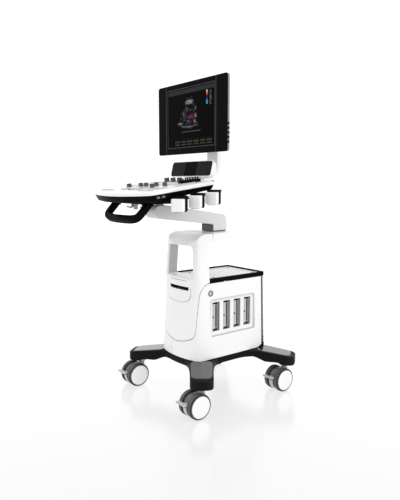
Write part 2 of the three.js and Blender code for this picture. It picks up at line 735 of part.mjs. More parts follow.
function addHandle() {
  const route = new THREE.CatmullRomCurve3([
    [118, -395, 817], [118, -412, 799], [117, -428, 782], [106, -438, 768], [80, -443, 762],
    [40, -445, 760], [0, -446, 760],
  ].map(([x, y, z]) => new THREE.Vector3(x, y, z)));
  const half = route.getPoints(14);
  const otherHalf = half.slice(0, -1).reverse()
    .map((point) => new THREE.Vector3(-point.x, point.y, point.z));
  const path = new THREE.CatmullRomCurve3([...half, ...otherHalf]);
  const grip = new THREE.ExtrudeGeometry(roundedRect(-12, 12, -13, 13, 6), {
    steps: 22, extrudePath: path, curveSegments: 1,
  });
  const tubClear = block(-200, 200, -460, -300, 815.6, 900);
  addNode('handle', cut(solid(grip), tubClear), black);
}

// ---------------------------------------------------------------- probe cups
function addProbeHolders() {
  let rail = block(188, 208, 60, 286, -36, -26);
  for (let index = 0; index < 3; index += 1) {
    const cupFrame = new THREE.Group();
    cupFrame.position.set(236, -352 + index * CUP.pitch, 838 + index * 11 - CUP.height);
    cupFrame.rotation.z = CUP.turn;
    centred.add(cupFrame);
    addNode(`probe_cup_${index + 1}`, makeCupFace(), white, cupFrame);
    cupFrame.updateMatrix();
    const toConsole = consoleFrame.matrix.clone().invert().multiply(cupFrame.matrix);
    const pocket = makeCupPocket();
    pocket.applyMatrix4(toConsole);
    const bore = cylinder(17, 90, 12).rotateX(Math.PI / 2);
    bore.translate(0, 24, CUP.height / 2 + 12);
    bore.applyMatrix4(toConsole);
    rail = cut(rail.add(solid(pocket)), solid(bore));
  }
  const shellRoom = block(-240, CONSOLE.half + 0.6, -60, 400, -CONSOLE.depth - GAP, 60);
  addNode('holder_rail', cut(rail, shellRoom), black, consoleFrame);
}

function makeCupFace() {
  const half = CUP.width / 2;
  const outer = raise(roundedRect(-half, half, -6, 12, 5), 0, CUP.height, { curveSegments: 3 });
  return cut(outer, block(-half + 3, half - 3, 0, 40, -10, 90));
}

function makeCupPocket() {
  const half = CUP.width / 2 - 3 - GAP;
  return new THREE.ExtrudeGeometry(roundedRect(-half, half, GAP, CUP.depth, 6), {
    depth: CUP.height + 8, bevelEnabled: false, curveSegments: 3,
  });
}

// ---------------------------------------------------------------- speaker and monitor
function addSpeaker() {
  const unit = new THREE.Group();
  unit.position.set(0, SPEAKER.y, (SPEAKER.low + SPEAKER.high) / 2);
  unit.rotation.x = -SPEAKER.tilt;
  centred.add(unit);
  const half = SPEAKER.half;
  const high = (SPEAKER.high - SPEAKER.low) / 2;
  const housing = deepenY(roundedRect(-half, half, -high, high, 16), 0, SPEAKER.depth, 5, (point) => {
    if (point.y > 1) {
      point.x *= 0.9;
      point.z *= 0.8;
    }
  });
  const pocket = deepenY(roundedRect(-half + 3, half - 3, -high + 3, high - 3, 13), -5, 5, 5);
  unit.updateMatrix();
  const toUnit = unit.matrix.clone().invert();
  const neck = new THREE.BoxGeometry(110, 14, 60).translate(0, -97, 912);
  neck.applyMatrix4(toUnit);
  const deck = new THREE.BoxGeometry(500, 600, 40).translate(0, 200, CONSOLE.top - 20 + GAP);
  deck.applyMatrix4(toUnit.clone().multiply(consoleFrame.matrix));
  const body = cut(join(cut(housing, pocket), solid(neck)), solid(deck));
  addNode('speaker_housing', body, white, unit);
  const edge = 3 + GAP;
  const face = roundedRect(-half + edge, half - edge, -high + edge, high - edge, 12.6);
  addNode('speaker_panel', deepenY(face, -2, 4.6, 5), black, unit);
}

function addMonitorArm() {
  const low = 920;
  const side = new THREE.Shape();
  side.moveTo(TURRET.y + 2, low);
  side.lineTo(TURRET.y + 30, low);
  side.quadraticCurveTo(20, low + 4, 22, low + 50);
  side.lineTo(20, 1040);
  side.quadraticCurveTo(18, 1090, 4, 1136);
  side.lineTo(-12, 1136);
  side.quadraticCurveTo(-4, 1090, -3, 1040);
  side.lineTo(-2, low + 54);
  side.quadraticCurveTo(-3, low + 22, -24, low + 17);
  side.lineTo(TURRET.y + 2, low + 15);
  const band = spreadX(side, -35, 35, 5);
  const turret = uprightCylinder(0, TURRET.y, TURRET.low, TURRET.high, TURRET.radius);
  const lugs = [];
  for (const x of [-34, 18]) {
    lugs.push(block(x, x + 16, -14, 4, 1128, 1150));
    lugs.push(crossCylinder(x, x + 16, TILT_AXIS.y, TILT_AXIS.z, 11));
    lugs.push(block(x, x + 16, TILT_AXIS.y, 2, 1140, 1158));
  }
  const pinHole = crossCylinder(-60, 60, TILT_AXIS.y, TILT_AXIS.z, 4.6, 16);
  addNode('monitor_arm', cut(join(band, turret, ...lugs), pinHole), white);
}

function monitorFrontView(inset, radius) {
  const { half, low, high } = MONITOR;
  return roundedRect(-half + inset, half - inset, low + inset, high - inset, radius);
}

function addMonitor() {
  const { front, edge, depth, screenHalf, screenLow, screenHigh } = MONITOR;
  const middle = (MONITOR.low + MONITOR.high) / 2;
  const shrink = (amountX, amountZ, from) => (point) => {
    if (point.y > from) {
      point.x *= amountX;
      point.z = middle + (point.z - middle) * amountZ;
    }
  };
  const rim = deepenY(monitorFrontView(0, 12), front + 4.4, front + edge, 4);
  const bulgeEdge = front + edge - 0.01;
  const outside = shrink(0.66, 0.68, front + 30);
  const bulge = deepenY(monitorFrontView(3, 12), bulgeEdge, front + depth, 4, outside);
  const hollow = deepenY(monitorFrontView(20, 8), front, front + edge + 6, 4);
  const inside = shrink(0.62, 0.62, front + 30);
  const cavity = deepenY(monitorFrontView(24, 8), front + edge, front + depth - 3, 4, inside);
  addNode('monitor_back', cut(join(rim, bulge), hollow, cavity), darkGrey);

  const face = deepenY(monitorFrontView(0, 12), front, front + 4, 4);
  const window = block(-screenHalf, screenHalf, front - 5, front + 9, screenLow, screenHigh);
  addNode('monitor_bezel', cut(face, window), black);
  addNode('lcd_panel', block(-162, 162, front + 5, front + 13, screenLow - 8, screenHigh + 5), screen);

  const plate = block(-52, 52, front + depth + GAP, front + depth + 8, 1108, 1204);
  const barrel = crossCylinder(-17.4, 17.4, TILT_AXIS.y, TILT_AXIS.z, 10);
  const web = block(-17.4, 17.4, front + depth + 4, TILT_AXIS.y + 2, 1142, 1158);
  const pin = crossCylinder(-36, 36, TILT_AXIS.y, TILT_AXIS.z, 4.2, 16);
  addNode('monitor_yoke', join(plate, barrel, web, pin), darkGrey);
}

// ---------------------------------------------------------------- assembly
addCasters();
addBody();
addFrontCover();
addDrive();
addTray();
addPorts();
addInside();
addCap();
addArm();
addConsoleShells();
addControls();
addHandle();
addProbeHolders();
addSpeaker();
addMonitorArm();
addMonitor();

export default machine;
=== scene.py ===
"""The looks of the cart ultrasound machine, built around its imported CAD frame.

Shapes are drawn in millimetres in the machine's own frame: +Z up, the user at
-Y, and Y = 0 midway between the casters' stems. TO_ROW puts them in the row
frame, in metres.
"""
import math

import bmesh
import bpy
import numpy as np
from mathutils import Matrix, Vector
from mathutils.geometry import delaunay_2d_cdt
from mathutils.kdtree import KDTree


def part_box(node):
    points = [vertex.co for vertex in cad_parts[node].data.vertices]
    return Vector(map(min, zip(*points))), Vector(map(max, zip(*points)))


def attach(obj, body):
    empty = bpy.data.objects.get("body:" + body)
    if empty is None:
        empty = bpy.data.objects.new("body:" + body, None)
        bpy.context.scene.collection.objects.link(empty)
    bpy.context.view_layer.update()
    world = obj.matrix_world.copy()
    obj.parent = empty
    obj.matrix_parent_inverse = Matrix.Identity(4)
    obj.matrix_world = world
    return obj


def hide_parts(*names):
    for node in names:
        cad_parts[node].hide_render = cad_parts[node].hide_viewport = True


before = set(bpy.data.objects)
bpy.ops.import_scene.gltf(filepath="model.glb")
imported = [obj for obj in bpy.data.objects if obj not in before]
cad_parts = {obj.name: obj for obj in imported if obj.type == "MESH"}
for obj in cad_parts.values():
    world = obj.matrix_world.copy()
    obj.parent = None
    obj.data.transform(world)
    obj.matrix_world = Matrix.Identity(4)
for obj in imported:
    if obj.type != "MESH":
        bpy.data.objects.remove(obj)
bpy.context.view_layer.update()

# ------------------------------------------------------------------ dimensions
MM = 0.001
CASTER_TRAIL = 34
AXLE_Z = 56  # height of the wheels' axles in the drawing, where the floor is at 6


def middle(node, axis):
    low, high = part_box(node)
    return (low[axis] + high[axis]) / 2


STEM_MIDDLE_Y = (middle("caster_wheels_front_left", 1) + middle("caster_wheels_rear_left", 1)) / 2
DRAWING_ORIGIN = (0, STEM_MIDDLE_Y + CASTER_TRAIL * MM,
                  middle("caster_wheels_front_left", 2) - AXLE_Z * MM)
TO_ROW = Matrix.Translation(DRAWING_ORIGIN) @ Matrix.Scale(MM, 4)


def box_mm(node):
    """A CAD node's box in the drawing frame: x0, x1, y0, y1, z0, z1."""
    inverse = TO_ROW.inverted()
    low, high = (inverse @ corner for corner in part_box(node))
    return low.x, high.x, low.y, high.y, low.z, high.z


# ------------------------------------------------------------------ shapes
# A shape is a list of vertices and a list of faces. A contour is a closed list
# of (u, v) points, anticlockwise round material and clockwise round a hole.
def merged(*shapes):
    verts, faces = [], []
    for shape_verts, shape_faces in shapes:
        start = len(verts)
        verts.extend(shape_verts)
        faces.extend(tuple(start + i for i in face) for face in shape_faces)
    return verts, faces


def moved(shape, matrix):
    verts, faces = shape
    return [matrix @ Vector(v) for v in verts], faces


def shifted(shape, x=0.0, y=0.0, z=0.0):
    return moved(shape, Matrix.Translation((x, y, z)))


def mirrored(shape):
    verts, faces = shape
    flipped = [Vector((-v[0], v[1], v[2])) for v in verts]
    return flipped, [tuple(reversed(face)) for face in faces]


def points(*places):
    return [Vector(place) for place in places]


def across_middle(line):
    """The same line on the other side of the middle, from its far end."""
    return [Vector((-p.x, p.y)) for p in reversed(line)]


def fillet(corners, radius, steps=6):
    """A closed outline with each corner rounded; radius is one number or one per corner."""
    count = len(corners)
    radii = [radius] * count if isinstance(radius, (int, float)) else radius
    outline = []
    for i, corner in enumerate(corners):
        here = Vector(corner)
        before = Vector(corners[i - 1]) - here
        after = Vector(corners[(i + 1) % count]) - here
        reach = min(radii[i], before.length * 0.49, after.length * 0.49)
        if reach < 1e-6:
            outline.append(here)
            continue
        first = here + before.normalized() * reach
        last = here + after.normalized() * reach
        for k in range(steps + 1):
            t = k / steps
            outline.append(first * (1 - t) ** 2 + here * 2 * t * (1 - t) + last * t ** 2)
    return outline


def rounded_rect(x0, x1, y0, y1, radius, steps=6):
    return fillet([(x0, y0), (x1, y0), (x1, y1), (x0, y1)], radius, steps)


def circle(x, y, radius, count=32):
    step = 2 * math.pi / count
    return [Vector((x + radius * math.cos(i * step), y + radius * math.sin(i * step)))
            for i in range(count)]


def hole(contour):
    return list(reversed(contour))


def dense(contour, spacing):
    """The contour with no edge longer than the spacing."""
    outline = []
    for i, here in enumerate(contour):
        there = contour[(i + 1) % len(contour)]
        parts = max(1, math.ceil((there - here).length / spacing))
        outline.extend(here.lerp(there, k / parts) for k in range(parts))
    return outline


def inset(contour, distance):
    """The contour moved into the material by a distance."""
    result = []
    for i, here in enumerate(contour):
        before = here - contour[i - 1]
        after = contour[(i + 1) % len(contour)] - here
        if before.length < 1e-9 or after.length < 1e-9:
            result.append(here.copy())
            continue
        before.normalize()
        after.normalize()
        normal = Vector((-before.y - after.y, before.x + after.x))
        if normal.length < 1e-6:
            normal = Vector((-after.y, after.x))
        normal.normalize()
        spread = max(0.5, normal.dot(Vector((-after.y, after.x))))
        result.append(here + normal * (distance / spread))
    return result


def distinct(contour, least=0.05):
    """The contour without points that lie on top of each other."""
    return [p for i, p in enumerate(contour) if (p - contour[i - 1]).length > least]


def inside_mask(places, contours):
    """Which points lie in the material, by the even-odd rule."""
    mask = np.zeros(len(places), bool)
    x, y = places[:, 0], places[:, 1]
    for contour in contours:
        ring = np.array([tuple(p) for p in contour])
        following = np.roll(ring, -1, axis=0)
        for (x0, y0), (x1, y1) in zip(ring, following):
            if y0 == y1:
                continue
            crosses = (y0 > y) != (y1 > y)
            mask ^= crosses & (x < (x1 - x0) * (y - y0) / (y1 - y0) + x0)
    return mask


def filled(contours, spacing=None):
    """Triangles over the material; the contours' own points come first, in order."""
    places = [Vector(p) for contour in contours for p in contour]
    edges = []
    for contour in contours:
        start = edges[-1][0] + 1 if edges else 0
        count = len(contour)
        edges.extend((start + i, start + (i + 1) % count) for i in range(count))
    if spacing:
        tree = KDTree(len(places))
        for i, point in enumerate(places):
            tree.insert((point.x, point.y, 0), i)
        tree.balance()
        low = np.min([tuple(p) for p in places], axis=0)
        high = np.max([tuple(p) for p in places], axis=0)
        grid = np.array([
            (u, v)
            for u in np.arange(low[0] + spacing / 2, high[0], spacing)
            for v in np.arange(low[1] + spacing / 2, high[1], spacing)
        ]).reshape(-1, 2)
        for u, v in grid[inside_mask(grid, contours)]:
            if tree.find((u, v, 0))[2] > spacing * 0.55:
                places.append(Vector((u, v)))
    found, _, faces, origins, _, _ = delaunay_2d_cdt(places, edges, [], 1, 1e-7)
    centres = np.array([np.mean([tuple(found[i]) for i in face], axis=0) for face in faces])
    keep = inside_mask(centres, contours)
    source = []
    for place, origin in zip(found, origins):
        source.append(origin[0] if origin else len(places))
        if not origin:
            places.append(Vector(place))
    triangles = [tuple(source[i] for i in face) for face, kept in zip(faces, keep) if kept]
    return places, triangles


def plate(contours, profile, to_space, spacing=None):
    """A solid between two faces. profile gives (inset, depth) from the front face's
    edge round to the back face's edge, and to_space puts (u, v, depth) in space."""
    verts, faces = [], []
    rings = []
    contours = [distinct(contour) for contour in contours]
    for step, (distance, depth) in enumerate(profile):
        ring = [inset(contour, distance) for contour in contours]
        ends = step in (0, len(profile) - 1)
        places, triangles = filled(ring, spacing) if ends else ([p for c in ring for p in c], [])
        start = len(verts)
        rings.append(start)
        verts.extend(to_space(p.x, p.y, depth) for p in places)
        if step:
            triangles = [tuple(reversed(t)) for t in triangles]
        faces.extend(tuple(start + i for i in t) for t in triangles)
    for near, far in zip(rings, rings[1:]):
        start = 0
        for contour in contours:
            count = len(contour)
            for i in range(count):
                a, b = start + i, start + (i + 1) % count
                faces.append((near + a, far + a, far + b, near + b))
            start += count
    return verts, faces


def soft_edge(radius, depth, back=0.0, steps=4):
    """A plate's profile with a rounded front edge and, if asked, a rounded back edge."""
    turns = [k / steps * math.pi / 2 for k in range(steps + 1)]
    front = [(radius * (1 - math.sin(t)), radius * (1 - math.cos(t))) for t in turns]
    if not back:
        return front + [(0.0, depth)]
    rear = [(back * (1 - math.cos(t)), depth - back * (1 - math.sin(t))) for t in turns]
    return front + rear


# How (u, v, depth) goes into space for a plate seen from each side.
def from_front(y):
    return lambda u, v, d: Vector((u, y + d, v))


def from_back(y):
    return lambda u, v, d: Vector((-u, y - d, v))


def from_right(x):
    return lambda u, v, d: Vector((x - d, u, v))


def from_top(z):
    return lambda u, v, d: Vector((u, v, z - d))


def lathe(profile, count=48, closed=False):
    """A profile of (radius, height) turned about Z. It starts and ends on the axis, or is closed."""
    verts, faces, rings = [], [], []
    for radius, height in profile:
        if radius < 1e-6:
            rings.append([len(verts)] * count)
            verts.append(Vector((0, 0, height)))
            continue
        rings.append(list(range(len(verts), len(verts) + count)))
        for p in circle(0, 0, radius, count):
            verts.append(Vector((p.x, p.y, height)))
    pairs = list(zip(rings, rings[1:])) + ([(rings[-1], rings[0])] if closed else [])
    for low, high in pairs:
        for i in range(count):
            j = (i + 1) % count
            face = tuple(dict.fromkeys((low[i], low[j], high[j], high[i])))
            if len(face) > 2:
                faces.append(face)
    return verts, faces


def along_x(shape):
    """A shape drawn about Z, laid along X."""
    return moved(shape, Matrix.Rotation(math.pi / 2, 4, "Y"))


def block(x0, x1, y0, y1, z0, z1, radius=1.0):
    """A box with all its edges rounded."""
    outline = rounded_rect(x0, x1, y0, y1, radius * 1.2, 4)
    return plate([outline], soft_edge(radius, z1 - z0, radius, 3), from_top(z1))


def curve_through(places, steps=8):
    """A smooth open line through the places."""
    line = []
    knots = points(*places)
    knots = [2 * knots[0] - knots[1], *knots, 2 * knots[-1] - knots[-2]]
    for a, b, c, d in zip(knots, knots[1:], knots[2:], knots[3:]):
        for k in range(steps):
            t = k / steps
            line.append(0.5 * (2 * b + (c - a) * t + (2 * a - 5 * b + 4 * c - d) * t ** 2
                               + (3 * b - a - 3 * c + d) * t ** 3))
    line.append(knots[-2])
    return line


def stacked(rings):
    """A solid through rings of equally many points, closed at both ends."""
    count = len(rings[0])
    verts = [place for ring in rings for place in ring]
    faces = []
    for start in range(0, len(verts) - count, count):
        for i in range(count):
            j = (i + 1) % count
            faces.append((start + i, start + j, start + count + j, start + count + i))
    faces.append(tuple(range(count - 1, -1, -1)))
    faces.append(tuple(range(len(verts) - count, len(verts))))
    return verts, faces


def sweep(path, section, side=(1, 0, 0)):
    """A section of (a, b) points carried along a path, with a along the side vector."""
    rings = []
    for k, here in enumerate(path):
        along = (path[min(k + 1, len(path) - 1)] - path[max(k - 1, 0)]).normalized()
        across = (Vector(side) - along * along.dot(Vector(side))).normalized()
        up = along.cross(across)
        rings.append([here + across * a + up * b for a, b in section])
    return stacked(rings)


# ------------------------------------------------------------------ pieces
SHARP_ANGLE = math.radians(34)  # an edge with more than this between its faces is drawn sharp


def in_scene(name, data):
    """A new object of the scene: a mesh, a camera or a lamp."""
    obj = bpy.data.objects.new(name, data)
    bpy.context.scene.collection.objects.link(obj)
    return obj


def new_object(name, shape):
    mesh = bpy.data.meshes.new(name)
    verts, faces = shape
    mesh.from_pydata([tuple(TO_ROW @ Vector(v)) for v in verts], [], faces)
    mesh.validate()
    return in_scene(name, mesh)


def tidy_mesh(obj):
    """Outward normals, and smooth shading except over sharp edges."""
    work = bmesh.new()
    work.from_mesh(obj.data)
    bmesh.ops.remove_doubles(work, verts=work.verts, dist=2e-6)
    bmesh.ops.recalc_face_normals(work, faces=work.faces)
    work.to_mesh(obj.data)
    work.free()
    obj.data.shade_smooth()
    obj.data.set_sharp_from_angle(angle=SHARP_ANGLE)


def dress(obj, surface, body, stands_for=()):
    obj.data.materials.clear()
    obj.data.materials.append(surface)
    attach(obj, body)
    if stands_for:
        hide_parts(*([stands_for] if isinstance(stands_for, str) else stands_for))
    return obj


def piece(name, shape, surface, body, stands_for=()):
    """A finished piece of the object that moves with a CAD body."""
    obj = new_object(name, shape)
    tidy_mesh(obj)
    normals = obj.modifiers.new("normals", "WEIGHTED_NORMAL")
    normals.keep_sharp = True
    return dress(obj, surface, body, stands_for)


def carved(name, adds, cuts):
    """The first solid joined with the other adds, less the cuts, as one mesh."""
    base = new_object(name, adds[0])
    tidy_mesh(base)
    tools = []
    for operation, shapes in (("UNION", adds[1:]), ("DIFFERENCE", cuts)):
        for shape in shapes:
            tool = new_object("tool", shape)
            tidy_mesh(tool)
            tools.append(tool)
            step = base.modifiers.new("step", "BOOLEAN")
            step.solver = "EXACT"
            step.operation = operation
            step.object = tool
    apply_modifiers(base)
    for tool in tools:
        bpy.data.objects.remove(tool)
    return base


def carved_piece(name, adds, cuts, surface, body, stands_for=()):
    obj = carved(name, adds, cuts)
    tidy_mesh(obj)
    return dress(obj, surface, body, stands_for)


def apply_modifiers(obj):
    graph = bpy.context.evaluated_depsgraph_get()
    graph.update()
    mesh = bpy.data.meshes.new_from_object(obj.evaluated_get(graph))
    old = obj.data
    obj.modifiers.clear()
    obj.data = mesh
    bpy.data.meshes.remove(old)


def moulded(name, adds, cuts, surface, body, stands_for=(), voxel=2.0, rounds=8, keep=0.4):
    """A casting or moulding: solids joined and cut, with every edge softly rounded."""
    obj = carved(name, adds, cuts)
    grid = obj.modifiers.new("grid", "REMESH")
    grid.mode = "VOXEL"
    grid.voxel_size = voxel * MM
    relax = obj.modifiers.new("relax", "SMOOTH")
    relax.factor = 0.5
    relax.iterations = rounds
    fewer = obj.modifiers.new("fewer", "DECIMATE")
    fewer.ratio = keep
    apply_modifiers(obj)
    obj.data.shade_smooth()
    return dress(obj, surface, body, stands_for)


# ------------------------------------------------------------------ materials
def node(tree, kind, **settings):
    made = tree.nodes.new(kind)
    for key, value in settings.items():
        setattr(made, key, value)
    return made


def new_material(name):
    material = bpy.data.materials.new(name)
    material.use_nodes = True
    return material, material.node_tree, material.node_tree.nodes["Principled BSDF"]


def settle(made, values):
    """Sets a node's own sockets by name."""
    for name, value in values.items():
        made.inputs[name].default_value = value


def noise(tree, scale, detail=3.0):
    """A noise texture over the object's own coordinates, in metres."""
    place = node(tree, "ShaderNodeTexCoord")
    texture = node(tree, "ShaderNodeTexNoise")
    settle(texture, {"Scale": scale, "Detail": detail})
    tree.links.new(place.outputs["Object"], texture.inputs["Vector"])
    return texture.outputs["Fac"]


def ranged(tree, value, low, high, start=0.3, end=0.7):
    """The value carried from the range start to end over to the range low to high."""
    scale = node(tree, "ShaderNodeMapRange")
    settle(scale, {"From Min": start, "From Max": end, "To Min": low, "To Max": high})
    tree.links.new(value, scale.inputs["Value"])
    return scale.outputs["Result"]


def blended(tree, share, first, second):
    mix = node(tree, "ShaderNodeMix", data_type="RGBA")
    tree.links.new(share, mix.inputs["Factor"])
    for socket, colour in ((mix.inputs[6], first), (mix.inputs[7], second)):
        if isinstance(colour, tuple):
            socket.default_value = (*colour, 1)
        else:
            tree.links.new(colour, socket)
    return mix.outputs[2]


def bumped(tree, shader, height, strength, distance):
    bump = node(tree, "ShaderNodeBump")
    settle(bump, {"Strength": strength, "Distance": distance})
    tree.links.new(height, bump.inputs["Height"])
    tree.links.new(bump.outputs["Normal"], shader.inputs["Normal"])


def moulded_surface(name, colour, rough, grain=1500, depth=0.25, vary=0.03, metal=0.0, coat=0.0,
                    edge_wear_and_highlight=None, shine=0.5):
    """Moulded plastic or paint: a fine grain, slightly uneven colour and gloss, and lighter
    convex edges in the colour given for them: rubbed wear on the powder coat and tyres, a painted
    highlight on the ribbed plastic."""
    material, tree, shader = new_material(name)
    darker = tuple(c * (1 - vary) for c in colour)
    lighter = tuple(min(1.0, c * (1 + vary)) for c in colour)
    tint = blended(tree, ranged(tree, noise(tree, 9), 0, 1), darker, lighter)
    if edge_wear_and_highlight:
        edges = node(tree, "ShaderNodeNewGeometry").outputs["Pointiness"]
        tint = blended(tree, ranged(tree, edges, 0, 0.6, 0.515, 0.57), tint, edge_wear_and_highlight)
    tree.links.new(tint, shader.inputs["Base Color"])
    uneven = ranged(tree, noise(tree, 45, 4), rough - 0.05, rough + 0.06)
    tree.links.new(uneven, shader.inputs["Roughness"])
    settle(shader, {"Metallic": metal, "Specular IOR Level": shine})
    if coat:
        settle(shader, {"Coat Weight": coat, "Coat Roughness": 0.12})
    bumped(tree, shader, noise(tree, grain, 2), depth, 0.0002)
    return material


def perforated_surface(name, colour, rough, pitch):
    """Plastic with a field of small round dimples, their middles painted darker as shade."""
    material, tree, shader = new_material(name)
    place = node(tree, "ShaderNodeTexCoord")
    dots = node(tree, "ShaderNodeTexVoronoi")
    settle(dots, {"Scale": 1 / pitch, "Randomness": 0.0})
    tree.links.new(place.outputs["Object"], dots.inputs["Vector"])
    rims = ranged(tree, dots.outputs["Distance"], 0, 1, 0.2, 0.34)
    # The dimples' middles are painted darker, as shade inside the recesses.
    deep = tuple(c * 0.25 for c in colour)
    tree.links.new(blended(tree, rims, deep, colour), shader.inputs["Base Color"])
    settle(shader, {"Roughness": rough, "Specular IOR Level": 0.1})
    bumped(tree, shader, rims, 0.6, 0.0004)
    return material


WHITE = moulded_surface("white_plastic", (0.88, 0.88, 0.877), 0.3, depth=0.0, vary=0.004, coat=0.15)
# On the speaker neck this pale grey is painted shadow under the speaker case.
SHADE = moulded_surface("pale_grey_plastic_and_shade", (0.68, 0.685, 0.69), 0.34, depth=0.1, vary=0.01, coat=0.1)
# Mid grey painted onto the arch legs' inner faces as the shade of the occluded arch.
ARCH_SHADE = moulded_surface("painted_arch_shade", (0.5, 0.505, 0.51), 0.4, depth=0.1, vary=0.02)
MID = moulded_surface("mid_grey_plastic", (0.22, 0.224, 0.23), 0.4, depth=0.1, vary=0.03)
SEAM_LINE = moulded_surface("seam_grey", (0.09, 0.09, 0.09), 0.6, depth=0.1, vary=0.05, shine=0.1)
BLACK = moulded_surface("black_plastic", (0.0042, 0.0044, 0.0048), 0.36, depth=0.2, vary=0.1,
                        shine=0.015)
GLOSS = moulded_surface("gloss_black", (0.004, 0.004, 0.0045), 0.22, depth=0.05, vary=0.1, coat=0.08,
                        shine=0.15)
CAST = moulded_surface("powder_coat", (0.006, 0.0062, 0.0066), 0.42, 900, 0.3, 0.12,
                       edge_wear_and_highlight=(0.03, 0.03, 0.03), shine=0.06)
LIGHT = moulded_surface("light_grey_plastic", (0.5, 0.51, 0.52), 0.36, depth=0.2, vary=0.02)
GREY = moulded_surface("grey_plastic", (0.13, 0.133, 0.138), 0.42, depth=0.3, vary=0.05)
PAD = moulded_surface("grey_rubber", (0.012, 0.0125, 0.013), 0.14, 900, 0.02, 0.03, coat=0.9)
SLATE = moulded_surface("dark_grey_paint", (0.1, 0.102, 0.106), 0.4, 900, 0.2, 0.05, shine=0.3)
# The ribbed plastic's light edge colour is a painted highlight on the tops of its ribs.
RIBBED = moulded_surface("ribbed_plastic", (0.12, 0.122, 0.126), 0.4, depth=0.3, vary=0.05,
                         edge_wear_and_highlight=(0.34, 0.34, 0.35))
TYRE = moulded_surface("tyre_rubber", (0.016, 0.016, 0.017), 0.7, 700, 0.7, 0.2,
                       edge_wear_and_highlight=(0.06, 0.058, 0.055), shine=0.25)
STEEL = moulded_surface("plated_steel", (0.48, 0.49, 0.5), 0.3, 400, 0.2, 0.06, metal=0.9)
DARK = moulded_surface("shadow_plastic", (0.002, 0.002, 0.002), 0.7, depth=0.2, vary=0.1, shine=0.02)
BALL_GREY = moulded_surface("polished_ball", (0.62, 0.63, 0.65), 0.12, depth=0.02, vary=0.01, coat=0.6)
GRILLE = perforated_surface("grille_plastic", (0.007, 0.007, 0.0075), 0.5, 0.0026)


# ------------------------------------------------------------------ camera, floor and light
CAMERA_PLACE = (1.7645, -1.3464, 0.8860)
CAMERA_TURN, CAMERA_RISE = math.radians(51.98), math.radians(7.11)
CAMERA_LENS, SENSOR_WIDTH = 38.46, 36


def add_camera():
    back = Vector((math.sin(CAMERA_TURN) * math.cos(CAMERA_RISE),
                   -math.cos(CAMERA_TURN) * math.cos(CAMERA_RISE), math.sin(CAMERA_RISE)))
    data = bpy.data.cameras.new("camera")
    data.lens = CAMERA_LENS
    data.sensor_width = SENSOR_WIDTH
    camera = in_scene("camera", data)
    camera.location = CAMERA_PLACE
    camera.rotation_euler = (-back).to_track_quat("-Z", "Y").to_euler()
    bpy.context.scene.camera = camera


def add_floor():
    material, _, shader = new_material("studio_floor")
    settle(shader, {"Base Color": (0.1, 0.1, 0.1, 1), "Roughness": 0.2,
                    "Emission Color": (1, 1, 1, 1), "Emission Strength": 0.76})
    reach = 30.0
    mesh = bpy.data.meshes.new("floor")
    corners = [(-reach, -reach, 0), (reach, -reach, 0), (reach, reach, 0), (-reach, reach, 0)]
    mesh.from_pydata(corners, [], [(0, 1, 2, 3)])
    mesh.materials.append(material)
    in_scene("floor", mesh)


def add_lamp(name, place, size, power):
    """A square lamp that faces the middle of the machine."""
    data = bpy.data.lights.new(name, "AREA")
    data.shape = "RECTANGLE"
    data.size = data.size_y = size
    data.energy = power
    lamp = in_scene(name, data)
    lamp.location = place
    lamp.rotation_euler = (Vector((0, 0, 0.7)) - Vector(place)).to_track_quat("-Z", "Y").to_euler()


def add_light():
    world = bpy.data.worlds.new("studio")
    world.use_nodes = True
    settle(world.node_tree.nodes["Background"], {"Color": (1, 1, 1, 1), "Strength": 1.1})
    bpy.context.scene.world = world
    add_lamp("key", (2.6, 0.6, 2.3), 1.6, 14)
    add_lamp("top", (0.3, -0.3, 3.2), 2.2, 4)
    view = bpy.context.scene.view_settings
    view.view_transform = "Standard"
    view.look = "None"


add_camera()
add_floor()
add_light()


# ------------------------------------------------------------------ body form
BODY = {"bottom": 178, "top": 493, "low": 132, "high": 122, "front": -201, "bow": 18, "rear": 196,
        "corner": 32, "rear_corner": 12, "lean": 0.045, "skirt": 58, "skirt_y": 137}
COLUMN_TOP = 690
COLUMN_HALF = 102


def bezier(a, b, c, steps):
    """A curve from a to c that leaves and arrives along the lines to b."""
    a, b, c = points(a, b, c)
    return [a * (1 - t) ** 2 + b * 2 * t * (1 - t) + c * t ** 2
            for t in (k / steps for k in range(steps + 1))]


def both_halves(right):
    """A closed outline from its right half, which starts and ends on the middle line."""
    return right + across_middle(right[1:-1])


def half_plan(corner=BODY["corner"]):
    """The right half of the body's plan, from the middle of the front to the middle of the rear."""
    half, rear, small = BODY["low"], BODY["rear"], BODY["rear_corner"]
    side = BODY["front"] + BODY["bow"]
    turn = half - corner
    slope = 2 * (BODY["bow"] - 4) / 100
    bow = bezier((0, side - 15), (turn / 2, side - 15), (turn, side - 2), 24)
    tip = (half, side - 2 + corner * slope)
    rounded = bezier((turn, side - 2), tip, (half, side + corner), 12)
    flank = points((half, rear - small))
    back = bezier((half, rear - small), (half, rear), (half - small, rear), 8)
    return bow + rounded[1:] + flank + back[1:] + points((0, rear))


